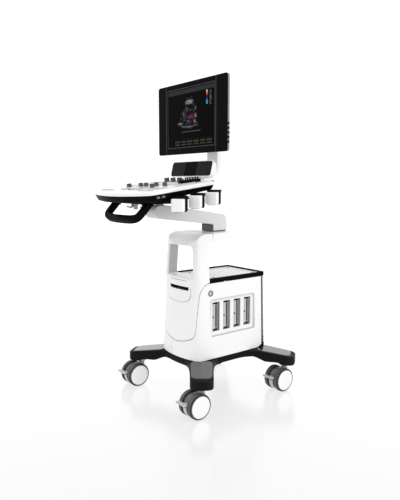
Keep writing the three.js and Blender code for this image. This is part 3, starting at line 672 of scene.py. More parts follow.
class Plan:
    """The body's plan by the distance round it from the middle of the front."""

    def __init__(self):
        line = dense_line(half_plan(), 3.0)
        self.points = np.array([tuple(p) for p in line])
        steps = np.diff(self.points, axis=0)
        self.along = np.concatenate([[0], np.cumsum(np.hypot(steps[:, 0], steps[:, 1]))])
        tangent = np.gradient(self.points, self.along, axis=0)
        tangent /= np.hypot(tangent[:, 0], tangent[:, 1])[:, None]
        self.normals = np.stack([tangent[:, 1], -tangent[:, 0]], axis=1)

    def at(self, distance):
        x, y = (np.interp(abs(distance), self.along, self.points[:, k]) for k in (0, 1))
        nx, ny = (np.interp(abs(distance), self.along, self.normals[:, k]) for k in (0, 1))
        side = -1 if distance < 0 else 1
        return side * x, y, side * nx, ny

    def at_front_x(self, x):
        near = self.points[:, 1] < BODY["front"] + 60
        return math.copysign(np.interp(abs(x), self.points[near, 0], self.along[near]), x)

    def at_side_y(self, y):
        """The distance round to a place on the right side, before the front's lean."""
        flank = (self.points[:, 0] > 95) & (self.along < self.along[-1] - BODY["low"])
        return float(np.interp(y, self.points[flank, 1], self.along[flank]))


def dense_line(line, spacing):
    """The open line with no step longer than the spacing."""
    result = []
    for here, there in zip(line, line[1:]):
        parts = max(1, math.ceil((there - here).length / spacing))
        result.extend(here.lerp(there, k / parts) for k in range(parts))
    return result + [line[-1]]


PLAN = Plan()


def width_share(z):
    """How wide the body is at a height, as a share of its width at the bottom."""
    if z < BODY["top"]:
        share = (z - BODY["bottom"]) / (BODY["top"] - BODY["bottom"])
        return (BODY["low"] + (BODY["high"] - BODY["low"]) * share) / BODY["low"]
    share = (z - BODY["top"]) / (COLUMN_TOP - BODY["top"])
    return (BODY["high"] + (COLUMN_HALF - BODY["high"]) * share) / BODY["low"]


def leant(y, z):
    """A place along Y moved back with the front's lean, which fades out towards the rear."""
    depth = BODY["rear"] - BODY["front"]
    share = min(max((BODY["rear"] - y) / depth, 0), 1)
    return y + BODY["lean"] * (z - BODY["bottom"]) * share


def unleant(y, z):
    """The place along Y that leans to y at this height, for places between front and rear."""
    depth = BODY["rear"] - BODY["front"]
    lean = BODY["lean"] * (z - BODY["bottom"])
    return (y - lean * BODY["rear"] / depth) / (1 - lean / depth)


def on_body(s, z, depth):
    """A point on the body's surface, s round from the middle of the front, at a depth under it."""
    x, y, nx, ny = PLAN.at(s)
    return Vector((x * width_share(z) - nx * depth, leant(y, z) - ny * depth, z))


def side_point(y, z):
    """A (y, z) place on the right side as (s, z)."""
    return Vector((PLAN.at_side_y(unleant(y, z)), z))


# ------------------------------------------------------------------ base frame
POD_HALF = 46
ARM_HALF = 50
POD_END = 45.7
BASE_THICK = 27


def stem_place(name):
    box = box_mm(f"caster_wheels_{name}")
    return Vector(((box[0] + box[1]) / 2, (box[2] + box[3]) / 2 + CASTER_TRAIL))


STEM = stem_place("rear_right")
ARM_SPLAY = math.radians(38)
ARM_AXIS = Vector((math.cos(ARM_SPLAY), math.sin(ARM_SPLAY)))


def on_arm(side_x, side_y, t, w):
    """A plan place on an arm: t beyond its stem, and w across."""
    place = STEM + ARM_AXIS * t + Vector((-ARM_AXIS.y, ARM_AXIS.x)) * (w * side_x * side_y)
    return Vector((side_x * place.x, side_y * place.y))


def base_outline():
    """The star of the base: the plate under the body and its four arms."""
    edge_x, edge_y = 128, -190
    low = (-edge_y - STEM.y - ARM_AXIS.x * ARM_HALF) / ARM_AXIS.y
    high = (edge_x - STEM.x - ARM_AXIS.y * ARM_HALF) / ARM_AXIS.x
    sides = [(low, -ARM_HALF, 60), (-30, -POD_HALF, 60), (POD_END, -POD_HALF, 30),
             (POD_END, POD_HALF, 30), (-30, POD_HALF, 60), (high, ARM_HALF, 60)]
    quarter = [(on_arm(1, -1, t, w), r) for t, w, r in sides]
    rear = [(Vector((p.x, -p.y)), r) for p, r in reversed(quarter)]
    right = quarter + rear
    left = [(Vector((-p.x, p.y)), r) for p, r in reversed(right)]
    corners = [(Vector((0, -199)), 80)] + right + left
    return fillet([tuple(p) for p, _ in corners], [r for _, r in corners], 8)


def smooth_step(low, high, x):
    t = min(max((x - low) / (high - low), 0), 1)
    return t * t * (3 - 2 * t)


def along_arm(x, y):
    """How far a plan place lies beyond the nearest stem, along its arm."""
    return (Vector((abs(x), abs(y))) - STEM).dot(ARM_AXIS)


def base_top(x, y):
    t = along_arm(x, y)
    return 177 - 22 * max(0, (t + 111) / (POD_END + 111))


def base_bottom(x, y):
    t = along_arm(x, y)
    return 150 - 22 * smooth_step(-136, -70, t) - 10 * smooth_step(-32, 2, t)


def in_base(x, y, depth):
    upper = depth < BASE_THICK / 2
    return Vector((x, y, base_top(x, y) - depth if upper else base_bottom(x, y) + BASE_THICK - depth))


def add_base():
    outline = dense(base_outline(), 9)
    star = plate([outline], soft_edge(3.5, BASE_THICK, 5, 4), in_base, spacing=13)
    rear, clear = BODY["rear"] - 1, BODY["skirt"] + 1.2
    centre_z = BODY["bottom"] + BODY["skirt"]
    last = math.acos((rear - BODY["skirt_y"]) / clear)
    hollow = [(BODY["skirt_y"] + clear * math.cos(a), centre_z - clear * math.sin(a))
              for a in np.linspace(last, math.pi / 2, 16)]
    side = [(115, 152), (rear, 152)] + hollow + [(115, BODY["bottom"] - 1.2)]
    radii = [1, 8] + [0] * (len(side) - 2)
    wedge = plate([fillet(side, radii, 5)], soft_edge(2.5, 2 * 126, 2.5), from_right(126))
    piece("base_casting", merged(star, wedge), CAST, "frame", "base_frame")
    for name, side_x, side_y in CORNERS:
        add_arm_pad(name, side_x, side_y)


def add_arm_pad(name, side_x, side_y):
    outline = dense(fillet([(-116, -45), (26, -40), (26, 40), (-116, 45)], [24, 24, 24, 24], 10), 8)

    def raised(t, w, depth):
        place = on_arm(side_x, side_y, t, w)
        return Vector((place.x, place.y, base_top(place.x, place.y) + 2.6 - depth))

    pad = plate([outline], soft_edge(2.4, 4.5), raised, spacing=14)
    piece(f"arm_pad_{name}", pad, PAD, "frame")


# ------------------------------------------------------------------ casters
CORNERS = [("front_left", -1, -1), ("front_right", 1, -1), ("rear_left", -1, 1), ("rear_right", 1, 1)]
WHEEL_RADIUS = 50
WHEEL_CENTRE = 27


def tyre(centre):
    half, r = 12, WHEEL_RADIUS
    outer = [(r - 6.5, half), (r - 3.5, half - 0.4), (r - 1.2, half - 2.2), (r, half - 5)]
    tread = [(r, 4.4), (r - 1.6, 3.8), (r - 1.6, 2.6), (r, 2.0)]
    right = outer + tread
    profile = right + [(radius, -x) for radius, x in reversed(right)]
    profile += [(r - 10, -half), (r - 10, half)]
    return shifted(along_x(lathe(profile, 64, closed=True)), x=centre)


def wheel_disc(side):
    outer = WHEEL_CENTRE + 15
    profile = [(0, outer - 0.6), (20, outer - 0.7), (34, outer - 1.1), (41, outer - 2.2),
               (43.4, outer - 3.6), (44.2, outer - 5.2), (44.2, outer - 11), (0, outer - 11)]
    disc = along_x(lathe(list(reversed(profile)), 64))
    return disc if side > 0 else mirrored(disc)


def wheel_ring(side):
    outer = WHEEL_CENTRE + 11.6
    profile = [(44.4, outer - 8), (45.6, outer - 8), (45.6, outer + 0.6), (45.2, outer + 1.1),
               (44.7, outer + 0.9)]
    ring = along_x(lathe(profile, 64, closed=True))
    return ring if side > 0 else mirrored(ring)


def ribbed_hood():
    radius, half = WHEEL_RADIUS - 5.4, 13.4
    profile = [(0, -half), (radius - 8, -half), (radius - 3, -half + 1)]
    ribs = 5
    for k in range(ribs):
        x = -half + 2.6 + k * (2 * half - 5.2) / (ribs - 1)
        profile += [(radius - 2.4, x - 1.9), (radius, x - 1.2), (radius, x + 1.2),
                    (radius - 2.4, x + 1.9)]
    profile += [(radius - 3, half - 1), (radius - 8, half), (0, half)]
    return along_x(lathe(profile, 72))


def add_caster(name):
    stem = stem_place(name)
    axle = Vector((stem[0], stem[1] - CASTER_TRAIL, AXLE_Z))
    to_axle = Matrix.Translation(axle)
    to_stem = Matrix.Translation((*stem, 0))
    wheels, fork, pedal = f"wheels_{name}", f"caster_{name}", f"pedal_{name}"

    tyres = merged(tyre(-WHEEL_CENTRE), tyre(WHEEL_CENTRE))
    piece(f"tyres_{name}", moved(tyres, to_axle), TYRE, wheels, f"caster_wheels_{name}")
    discs = merged(wheel_disc(1), wheel_disc(-1))
    piece(f"wheel_discs_{name}", moved(discs, to_axle), WHITE, wheels)
    rings = merged(wheel_ring(1), wheel_ring(-1))
    root, rim = WHEEL_RADIUS - 2, WHEEL_RADIUS - 0.1
    band = [(root, -1.1), (rim, -1.1), (rim, 1.1), (root, 1.1)]
    for side in (-1, 1):
        ring = shifted(along_x(lathe(band, 64, closed=True)), x=side * WHEEL_CENTRE + 3.2)
        rings = merged(rings, ring, shifted(ring, x=-6.4))
    piece(f"wheel_rings_{name}", moved(rings, to_axle), MID, wheels)

    hood = moved(ribbed_hood(), to_axle)
    piece(f"caster_hood_{name}", hood, RIBBED, fork, f"caster_fork_{name}")
    neck = lathe([(0, 84), (13, 84), (13, 105), (18, 108.5), (22, 110.5), (23, 112.5),
                  (23, 116.2), (22, 117.4), (0, 117.4)], 40)
    web = block(-11, 11, -34, 10, 82, 101, 3)
    piece(f"caster_neck_{name}", moved(merged(neck, web), to_stem), LIGHT, fork)

    front = -CASTER_TRAIL - WHEEL_RADIUS
    shield = [Vector((0, -CASTER_TRAIL - 47.5 * math.cos(a), AXLE_Z + 47.5 * math.sin(a)))
              for a in (math.radians(2 - 6 * k) for k in range(9))]
    strap = sweep(shield, rounded_rect(-10, 10, -1.6, 1.6, 1.2, 3))
    piece(f"caster_guard_{name}", moved(strap, to_stem), LIGHT, fork)

    root = front - 3

    def sloped(u, v, depth):
        return Vector((u, v, 77.6 + (root - v) * 0.12 - depth))

    tread = plate([fillet([(-28, front - 22), (28, front - 22), (24, root), (-24, root)], 6)],
                  soft_edge(2.4, 8, 2), sloped)
    stalk = block(-8, 8, front - 8, front + 19, 65, 73, 2)
    piece(f"brake_pedal_{name}", moved(merged(tread, stalk), to_stem), LIGHT, pedal,
          f"caster_pedal_{name}")


# ------------------------------------------------------------------ body panels
SEAM = 1.8
REAR_SEAM_Y = 176
SPLIT_X = -29


def cover_bottom(s):
    """Height of the cover's curved lower edge at a distance round from the middle of the front."""
    t = (math.sqrt(88 ** 2 + 24 * (94 - abs(s))) - 88) / 12
    return 266.5 * (1 - t) ** 2 + 2 * 246 * t * (1 - t) + 243 * t ** 2


def cover_side():
    """The cover's edge as (s, z), from its lower corner up to the tray."""
    corner = bezier((94, 266.5), (110, 274), (114, 298), 8)
    bend = bezier((128, 440), (136, 486), (178, 491.5), 14)
    return corner + bend


def lower_rear_corner(last_y):
    """Side view of the body's rounded lower rear corner, up to a place along Y."""
    radius, start = BODY["skirt"], BODY["skirt_y"]
    last = math.asin((last_y - start) / radius)
    return [(start + radius * math.sin(last * k / 12),
             BODY["bottom"] + radius * (1 - math.cos(last * k / 12))) for k in range(13)]


def panel_outline(split):
    """A side panel as (s, z), anticlockwise from its lower front corner; s is positive."""
    low = [Vector((split, BODY["bottom"] + 0.6)), side_point(60, BODY["bottom"] + 0.6)]
    corner = [side_point(y, z + 0.6) for y, z in lower_rear_corner(REAR_SEAM_Y - SEAM)]
    rear_top = points((corner[-1].x, BODY["top"] - 0.6))
    seam = list(reversed(cover_side()))
    front = [Vector((s, cover_bottom(s))) for s in np.linspace(92, split, 24)]
    return low + corner + rear_top + seam + front


def wall(contours):
    """A moulded panel on the body's surface."""
    return plate([dense(contour, 5) for contour in contours], soft_edge(0.9, 2.6, 0, 3), on_body, 9)


def add_side_panels():
    ports = box_mm("port_frame")
    window = rounded_rect(ports[2] - 0.8, ports[3] + 0.8, ports[4] - 0.8, ports[5] + 0.8, 12, 8)
    window = [side_point(p.x, p.y) for p in window]
    button = box_mm("power_button")
    centre = side_point((button[2] + button[3]) / 2, (button[4] + button[5]) / 2)
    ring = circle(centre.x, centre.y, 12.2, 40)
    right = inset(panel_outline(PLAN.at_front_x(SPLIT_X)), SEAM / 2)
    piece("right_side_panel", wall([right, hole(window), hole(ring)]), WHITE, "frame",
          "right_panel")
    split = -PLAN.at_front_x(SPLIT_X)
    left = inset(panel_outline(split), SEAM / 2)
    piece("left_side_panel", mirrored(wall([left])), WHITE, "frame", "left_panel")
    edge = cover_side()[::-1] + [Vector((s, cover_bottom(s))) for s in np.linspace(92, 0, 14)]
    band = inset(edge, -5) + inset(edge, 5)[::-1]
    layers = [(0, 4.2), (0, 5.4)]
    backing = plate([dense(band[1:-1], 5)], layers, on_body)
    lower = points((-split - 5, 185), (-split + 5, 185), (-split + 5, 246), (-split - 5, 246))
    upright = plate([dense(lower, 5)], layers, on_body)
    piece("seam_backing", merged(backing, mirrored(backing), upright), SEAM_LINE, "frame")


def rear_point(x, z, depth):
    """A place on the body's rear, seen from behind."""
    half = width_share(z) * BODY["low"]
    y = BODY["rear"] - depth
    edge = half - BODY["rear_corner"]
    if abs(x) > edge:
        turn = min((abs(x) - edge) / BODY["rear_corner"], 1.5)
        angle = min(turn, math.pi / 2)
        radius = BODY["rear_corner"] - depth
        y = BODY["rear"] - BODY["rear_corner"] + radius * math.cos(angle)
        x_new = edge + radius * math.sin(angle)
        if turn > math.pi / 2:
            y -= (turn - math.pi / 2) * BODY["rear_corner"]
        return Vector((-math.copysign(x_new, x), y, z))
    return Vector((-x, y, z))


def add_rear_cover():
    low, high = 198, BODY["top"] - 0.6
    reach = BODY["low"] + 14
    corners = [(-reach, low), (reach, low), (reach - 8, high), (-reach + 8, high)]
    outline = dense(fillet(corners, 2, 3), 6)
    holes = []
    for row in range(7):
        z = 326 + row * 20
        for x0, x1 in ((-88, -32), (-28, 28), (32, 88)):
            holes.append(hole(rounded_rect(x0, x1, z, z + 7, 3.4, 4)))
    holes.append(hole(rounded_rect(-31, 31, 252, 278, 4)))
    switch = box_mm("mains_switch")
    holes.append(hole(rounded_rect(-switch[1] - 1, -switch[0] + 1, switch[4] - 1, switch[5] + 1, 2)))
    shape = plate([outline, *holes], soft_edge(0.8, 2.6, 0, 3), rear_point, 12)
    piece("rear_panel", shape, WHITE, "frame", "rear_cover")
    # A near-black sheet behind the vent slots is painted shadow, so the vents look dark inside.
    shadow_sheet = block(-96, 96, BODY["rear"] - 12, BODY["rear"] - 9, 318, 462, 1)
    piece("vent_shadow_sheet", shadow_sheet, DARK, "frame")
    screws = []
    for x in (-108, 108):
        for z in (214, 480):
            screws.append(rear_screw(3.4, x, BODY["rear"], z))
    piece("rear_screws", merged(*screws), STEEL, "frame")


def screw_head(radius):
    """A flat screw head with a round recess, drawn about Z and standing 0.5 high."""
    return lathe([(0, -1.5), (radius, -1.5), (radius, 0.1), (radius * 0.86, 0.5), (radius * 0.55, 0.5),
                  (radius * 0.5, -0.6), (0, -0.6)], 24)


def rear_screw(radius, x, y, z):
    """A screw head that faces the rear."""
    turn = Matrix.Rotation(-math.pi / 2, 4, "X")
    return moved(screw_head(radius), Matrix.Translation((x, y, z)) @ turn)


def add_front_cover():
    """The one-piece front cover, with the drive's opening, the arch's legs and their bridge."""
    levels = [236] + [300 + 30 * k for k in range(13)] + [COLUMN_TOP]
    rings = []
    for z in levels:
        plan = both_halves(half_plan(BODY["corner"] - 18 * smooth_step(440, 560, z)))
        rings.append([Vector((p.x * width_share(z), leant(p.y, z), z)) for p in plan])
    form = stacked(rings)

    rear = points((-150, 470), (-111, 490), (-108, 630), (-96, 656.5), (-80, 656.5), (-80, 720))
    behind = rear + points((320, 720), (320, 200), (-100, 200), (-150, 260))
    behind_solid = plate([behind[::-1]], [(0, 0), (0, 600)], from_right(300))
    half = cover_side()[::-1] + [Vector((s, cover_bottom(s))) for s in np.linspace(92, 2, 24)]
    edge = inset(half, -SEAM / 2)[1:-1]
    edge = points((179, 493)) + edge + points((0, cover_bottom(0) + SEAM / 2))
    edge += across_middle(edge[:-1])
    beyond = edge + points((-300, 493), (-300, 190), (300, 190), (300, 493))
    outside = plate([dense(beyond, 8)], [(0, -8), (0, 16)], on_body, 14)
    ring = both_halves(half_plan())

    def inner(u, v, depth):
        z = 486 - depth
        return Vector((u * width_share(z), leant(v, z), z))

    hollow = plate([inset(distinct(ring, 1.0), 9)], [(0, 0), (0, 270)], inner)
    arch = fillet([(-91, 511), (91, 511), (79, 641), (-79, 641)], [3, 3, 17, 5], 8)
    arch_solid = plate([arch], [(0, 0), (0, 500)], from_front(-330))
    flare = fillet([(-109, 511), (109, 511), (93, 647), (-93, 647)], [3, 3, 5, 5], 4)
    flare_solid = plate([flare], [(0, 0), (0, 300)], from_front(-122))
    brow = points((-330, 600), (-183, 600), (-175, 640))
    brow += bezier((-175, 645), (-161, 687), (-114, 690.5), 14)
    brow += points((-90, 690.5), (-90, 760), (-330, 760))
    brow_solid = plate([brow], [(0, 0), (0, 600)], from_right(300))
    slot = block(-62.6, 73.6, -330, 60, 460.6, 476.2, 0.5)
    cuts = [outside, hollow, behind_solid, arch_solid, flare_solid, brow_solid, slot]
    moulded("front_column", [form], cuts, WHITE, "frame", "front_cover",
            voxel=1.6, rounds=8, keep=1.0)
    joint = block(-101.8, 101.8, -80.2, -78.8, 657, 690.3, 0.3)
    piece("cap_joint", joint, SEAM_LINE, "frame")
    # Thin grey strips on the arch legs' inner faces are painted shade where the arch's inside is
    # occluded.
    shade_strips = []
    for side in (-1, 1):
        foot, head = side * 91.8, side * 80.3
        outline = points((foot, 513), (head, 637), (head - side * 1.6, 637), (foot - side * 1.6, 513))
        turned = outline if side > 0 else outline[::-1]
        shade_strips.append(plate([turned], [(0, 0), (0, 42)], from_front(-165)))
    piece("arch_shade_strips", merged(*shade_strips), ARCH_SHADE, "frame")


def bezel_outline(gap):
    box = box_mm("drive_bezel")
    half, low, high = box[1] + 0.4 - gap, box[4] - 0.4 + gap, box[5] - 2.6 - gap
    lower = [Vector((half * x, low + 40 * (1 - (1 - abs(x) ** 2.8) ** (1 / 2.8))))
             for x in [-math.cos(math.pi * k / 28) for k in range(29)]]
    return lower + points((half, high), (-half, high))


def add_drive_bezel():
    """The drive's own panel stands just proud of the cover, with the disc slot through it."""
    def on_front(x, z, depth):
        s = PLAN.at_front_x(x)
        return on_body(s, z, depth - 1.3)

    outline = dense(fillet([tuple(p) for p in bezel_outline(0.6)], 1.2, 2), 4)
    box = box_mm("disc_tray")
    slot = rounded_rect(box[0] + 2, box[1] + 10, 461.2, 475.6, 1.6, 4)
    shape = plate([outline, hole(dense(slot, 4))], soft_edge(1.0, 3.2, 0, 3), on_front, 9)
    piece("drive_panel", shape, WHITE, "frame", "drive_bezel")
    ring = dense(distinct(bezel_outline(-0.4), 0.5), 4)
    line = plate([ring, hole(inset(ring, 1.5))], [(0, 0.6), (0, 3)], on_front)
    piece("drive_panel_line", line, SEAM_LINE, "frame")
    y = -178
    door = block(box[0] + 0.4, box[1] - 0.4, y + 0.6, y + 60, 464.4, 472.4, 1.0)
    piece("tray_door", door, DARK, "disc_tray", "disc_tray")


def tray_plan(distance, z):
    """The tray's plan at a height: the body's outline behind the legs."""
    half = [p for p in half_plan() if p.y > -110]
    start = Vector((BODY["low"], -110))
    right = [start] + half
    ring = right + [Vector((-p.x, p.y)) for p in reversed(right) if p.x > 0.01]
    share = width_share(z)
    return inset([Vector((p.x * share, p.y)) for p in ring], distance)


def add_tray():
    top = box_mm("tray_rim")[5]
    low = box_mm("tray_rim")[4]
    outer = tray_plan(0.2, low)
    cutter = fillet([(-103, -150), (103, -150), (103, -90), (-103, -90)], 1, 2)
    inner = tray_plan(9, low)
    rim = plate([outer, hole(inner)], soft_edge(2.2, top - low, 0, 4), from_top(top))
    gap = plate([cutter], [(0, 0), (0, 60)], from_top(top + 20))
    carved_piece("tray_rail", [rim], [gap], BLACK, "frame", "tray_rim")
    deck = box_mm("tray_top")[5]
    floor = plate([tray_plan(9.4, low)], soft_edge(1.0, deck - low), from_top(deck))
    piece("tray_floor", floor, SHADE, "frame", "tray_top")
    buttons = []
    for x in (-82, 82):
        for y in (-60, 160):
            dome = lathe([(0, -2), (5.5, -2), (5.5, 0.3), (4.6, 1.1), (3, 1.5), (0, 1.7)], 28)
            buttons.append(shifted(dome, x, y, deck))
    piece("tray_feet", merged(*buttons), GREY, "frame")


# ------------------------------------------------------------------ probe ports
def add_ports():
    box = box_mm("port_frame")
    y0, y1, z0, z1 = box[2], box[3], box[4], box[5]
    outer = rounded_rect(y0, y1, z0, z1, 11.4, 8)
    board = box_mm("port_board")
    windows = []
    pitch = 57.5
    count = 4
    first = (y0 + y1) / 2 - pitch * (count - 1) / 2 - 0.9
    low, high, half = board[4] + 4, board[5] - 4, 20
    for k in range(count):
        y = first + k * pitch
        windows.append(hole(rounded_rect(y - half, y + half, low, high, 3, 5)))
    face = 118.5
    frame_shape = plate([outer, *windows], soft_edge(1.0, face - 112), from_right(face))
    lip = rounded_rect(y0 - 0.2, y1 + 0.2, z0 - 0.2, z1 + 0.2, 11.6, 8)
    lip_shape = plate([lip, hole(inset(lip, 2.6))], soft_edge(0.8, 14), from_right(125.5))
    piece("port_surround", frame_shape, WHITE, "frame", "port_frame")
    piece("port_lip", lip_shape, SHADE, "frame")
    backing = block(94, 101, y0 + 6, y1 - 6, z0 + 8, z1 - 8, 1)
    piece("port_backing", backing, DARK, "frame", "port_board")
    bodies, rails, cavities, pins = [], [], [], []
    for k in range(count):
        y = first + k * pitch
        bodies.append(plate([rounded_rect(y - half + 0.8, y + half - 0.8, low + 0.8, high - 0.8, 2.5),
                             hole(rounded_rect(y + 1.5, y + 8.5, low + 15, high - 15, 2))],
                            soft_edge(0.8, 9), from_right(110.5)))
        rails.append(block(101.4, 112.2, y - half + 2.4, y + 0.4, low + 9, high - 9, 0.8))
        for z in (low + 6.5, high - 6.5):
            cavities.append(block(104, 111.4, y - 9, y + 12, z - 4, z + 4, 1.5))
        for row in range(2):
            for i in range(24):
                z = low + 18 + i * 3.45
                near = y + 3.4 + row * 2.4
                pins.append(block(104, 108.6, near, near + 1.0, z, z + 1.4, 0.2))
    piece("port_connectors", merged(*bodies), MID, "frame")
    piece("port_rails", merged(*rails), LIGHT, "frame")
    piece("port_ends", merged(*cavities), DARK, "frame")
    piece("port_contacts", merged(*pins), GREY, "frame")
    locks = []
    for k in range(count):
        y = first + k * pitch - 10
        stud = along_x(lathe([(0, -2), (3.6, -2), (3.6, 0.8), (2.4, 1.4), (0, 1.4)], 24))
        locks.append(shifted(stud, 112.2, y, (low + high) / 2 - 2))
    piece("port_locks", merged(*locks), DARK, "frame")


def add_power_button():
    box = box_mm("power_button")
    y, z = (box[2] + box[3]) / 2, (box[4] + box[5]) / 2
    cap = lathe([(0, 112), (9.2, 112), (9.2, 122.6), (8.4, 123.6), (6.5, 123.9), (0, 123.2)], 48)
    piece("power_key", shifted(along_x(cap), 0, y, z), LIGHT, "power_button",
          "power_button")
    bezel = lathe([(9.6, 114), (12.1, 114), (12.1, 124.8), (11.5, 125.8), (10.2, 125.6), (9.6, 124.6)],
                  48, closed=True)
    piece("power_ring", shifted(along_x(bezel), 0, y, z), SLATE, "frame")


def add_mains():
    face = BODY["rear"] + 1.8
    rim = rounded_rect(-30.4, 30.4, 252.6, 277.4, 3.5)
    opening = rounded_rect(-23.6, 23.6, 256, 274, 5)
    flange = plate([rim, hole(opening)], soft_edge(1.0, 6), from_back(face))
    well = plate([rounded_rect(-23.4, 23.4, 256.2, 273.8, 5)], soft_edge(0.2, 3), from_back(face - 18))
    pins = [block(x - 1, x + 1, face - 17, face - 4, z - 2.2, z + 2.2, 0.4)
            for x, z in ((-7, 263), (0, 268), (7, 263))]
    piece("inlet_socket", merged(flange, well), BLACK, "frame", "mains_inlet")
    piece("inlet_pins", merged(*pins), STEEL, "frame")
    x0, x1, y0, y1, z0, z1 = box_mm("mains_switch")
    profile = [(y0, z0 + 0.6), (y1 - 1.5, z0 + 0.6), (y1 - 4.5, (z0 + z1) / 2), (y1 - 0.4, z1 - 0.6),
               (y0, z1 - 0.6)]
    rocker = fillet(profile, [0.5, 1, 3, 1, 0.5], 4)
    shape = plate([rocker], soft_edge(0.8, x1 - x0 - 1.6, 0.8), from_right(x1 - 0.8))
    piece("switch_rocker", shape, GLOSS, "mains_switch", "mains_switch")


# ------------------------------------------------------------------ cap, post and swing arm
CONSOLE_PIVOT_Y = -286
MONITOR_PIVOT_Y = -56


def add_cap_and_post():
    box = box_mm("arm_cap")
    half, front, top, low = box[1], box[2], box[5], box[4]
    side, rear = 22, box[3]
    outline = points((half, front), (half - 2, side))
    outline += bezier((half - 2, side), (half - 14, rear - 6), (0, rear), 14)[1:]
    outline += across_middle(outline[:-1])
    outline = points((-half, front)) + outline[:-1]
    body = plate([list(outline)], [(0, 0), (0, top - low)], from_top(top))
    slope = plate([points((-95, low - 6), (90, low - 6), (90, low + 18))],
                  [(0, 0), (0, 300)], from_right(150))
    moulded("arm_cover", [body], [slope], WHITE, "frame", "arm_cap",
            voxel=1.6, rounds=10, keep=0.35)
    post = box_mm("arm_post")
    column = block(post[0], post[1], post[2], post[3] - 0.2, top + 1, post[5], 3)
    foot = lathe([(0, 655), (23, 655), (23, top + 2), (0, top + 2)], 40)
    centre_y = post[3] - 33.6
    collar = lathe([(30, top + 0.4), (36, top + 0.4), (36, top + 3.2), (35, top + 4.2),
                    (30, top + 4.2)], 56, closed=True)
    piece("post_core", merged(column, shifted(foot, 0, centre_y)), SLATE, "arm",
          "arm_post")
    piece("post_collar", shifted(collar, 0, centre_y), GREY, "arm")


def arm_top(y):
    return 765 + 0.148 * (23 - y)


def add_swing_arm():
    box = box_mm("swing_arm")
    low = box[4]
    outline = points((-26.6, low), (50, low), (50, 738))
    outline += [Vector((23 + 27 * math.cos(a), 738 + 27 * math.sin(a)))
                for a in (k * math.pi / 24 for k in range(1, 13))]
    outline += points((-268, arm_top(-268)))
    outline += bezier((-268, arm_top(-268)), (-316, arm_top(-316)), (-319, 785), 10)[1:]
    outline += bezier((-319, 785), (-318, 757), (-290, 754), 8)[1:]
    outline += points((-30, 722), (-26.6, 721))
    beam = plate([outline], [(0, 0), (0, box[1] - box[0])], from_right(box[1]))
    pocket = block(-34.4, 34.4, -60, 44, low - 10, 720.4, 2)
    moulded("arm_beam", [beam], [pocket], SHADE, "arm", "swing_arm",
            voxel=1.9, rounds=22, keep=0.35)
    boss = lathe([(14.4, 778), (30, 778), (30, 812), (28.6, 815.2), (14.4, 815.2)], 48, closed=True)
    piece("arm_boss", shifted(boss, 0, CONSOLE_PIVOT_Y), LIGHT, "arm")


# ------------------------------------------------------------------ console
CONSOLE = Matrix.Translation((0, -449, 848)) @ Matrix.Rotation(math.radians(7.8), 4, "X")
DECK = 14
SHELL_DEPTH = 25
BALL = (0, 74, 2)
KEY_ROWS, KEY_COLUMNS = 4, 14
BANK_TURN = math.radians(-22)


def on_deck(node):
    """The middle of a CAD node in the console's own frame."""
    x0, x1, y0, y1, z0, z1 = box_mm(node)
    return CONSOLE.inverted() @ Vector(((x0 + x1) / 2, (y0 + y1) / 2, (z0 + z1) / 2))


def console_piece(name, shape, surface, stands_for=(), body="console"):
    return piece(name, moved(shape, CONSOLE), surface, body, stands_for)


def console_outline():
    right = bezier((0, -34), (93, -34), (186, -4), 14)
    right += bezier((186, -4), (212, 4), (212, 26), 8)[1:]
    right += bezier((212, 276), (212, 290), (196, 292), 8)
    right += bezier((116, 304), (78, 310), (60, 356), 12)
    right += bezier((60, 400), (60, 424), (36, 424), 8)
    return both_halves(right + points((0, 424)))


def add_console_top():
    turret = CONSOLE.inverted() @ Vector((0, MONITOR_PIVOT_Y, 912))
    holes = [
        rounded_rect(-153, 153, 177, 257, 7, 6),
        circle(BALL[0], BALL[1], 25.8, 48),
        circle(turret.x, turret.y, 24.5, 48),
    ]
    outline = dense(inset(console_outline(), 0.5), 8)
    shape = plate([outline, *(hole(h) for h in holes)], soft_edge(4.5, DECK - 0.5, 0.8, 5),
                  from_top(DECK), 12)
    console_piece("console_deck", shape, WHITE, "console_top")
    line = inset(console_outline(), 14)
    groove = plate([line, hole(inset(line, 1.0))], [(0, 0), (0, 1)], from_top(DECK + 0.12))
    console_piece("deck_line", groove, LIGHT)
    frame_line = rounded_rect(-158, 158, 172, 262, 9, 6)
    trim = plate([frame_line, hole(inset(frame_line, 4.5))], soft_edge(0.6, 2), from_top(DECK + 0.7))
    console_piece("keyboard_trim", trim, LIGHT)


def in_shell(u, v, depth):
    share = depth / SHELL_DEPTH
    rise = 8 * min(max((v - 20) / 270, 0), 1)
    return CONSOLE @ Vector((u * (1 - 0.045 * share), 170 + (v - 170) * (1 - 0.035 * share),
                             (rise - SHELL_DEPTH) * share))


def ball_shape(radius, rings, around):
    """A sphere with so many rings from its middle to its top, and so many faces around it."""
    turns = [k * math.pi / (2 * rings) for k in range(1 - rings, rings)]
    arc = [(radius * math.cos(a), radius * math.sin(a)) for a in turns]
    return lathe([(0, -radius), *arc, (0, radius)], around)


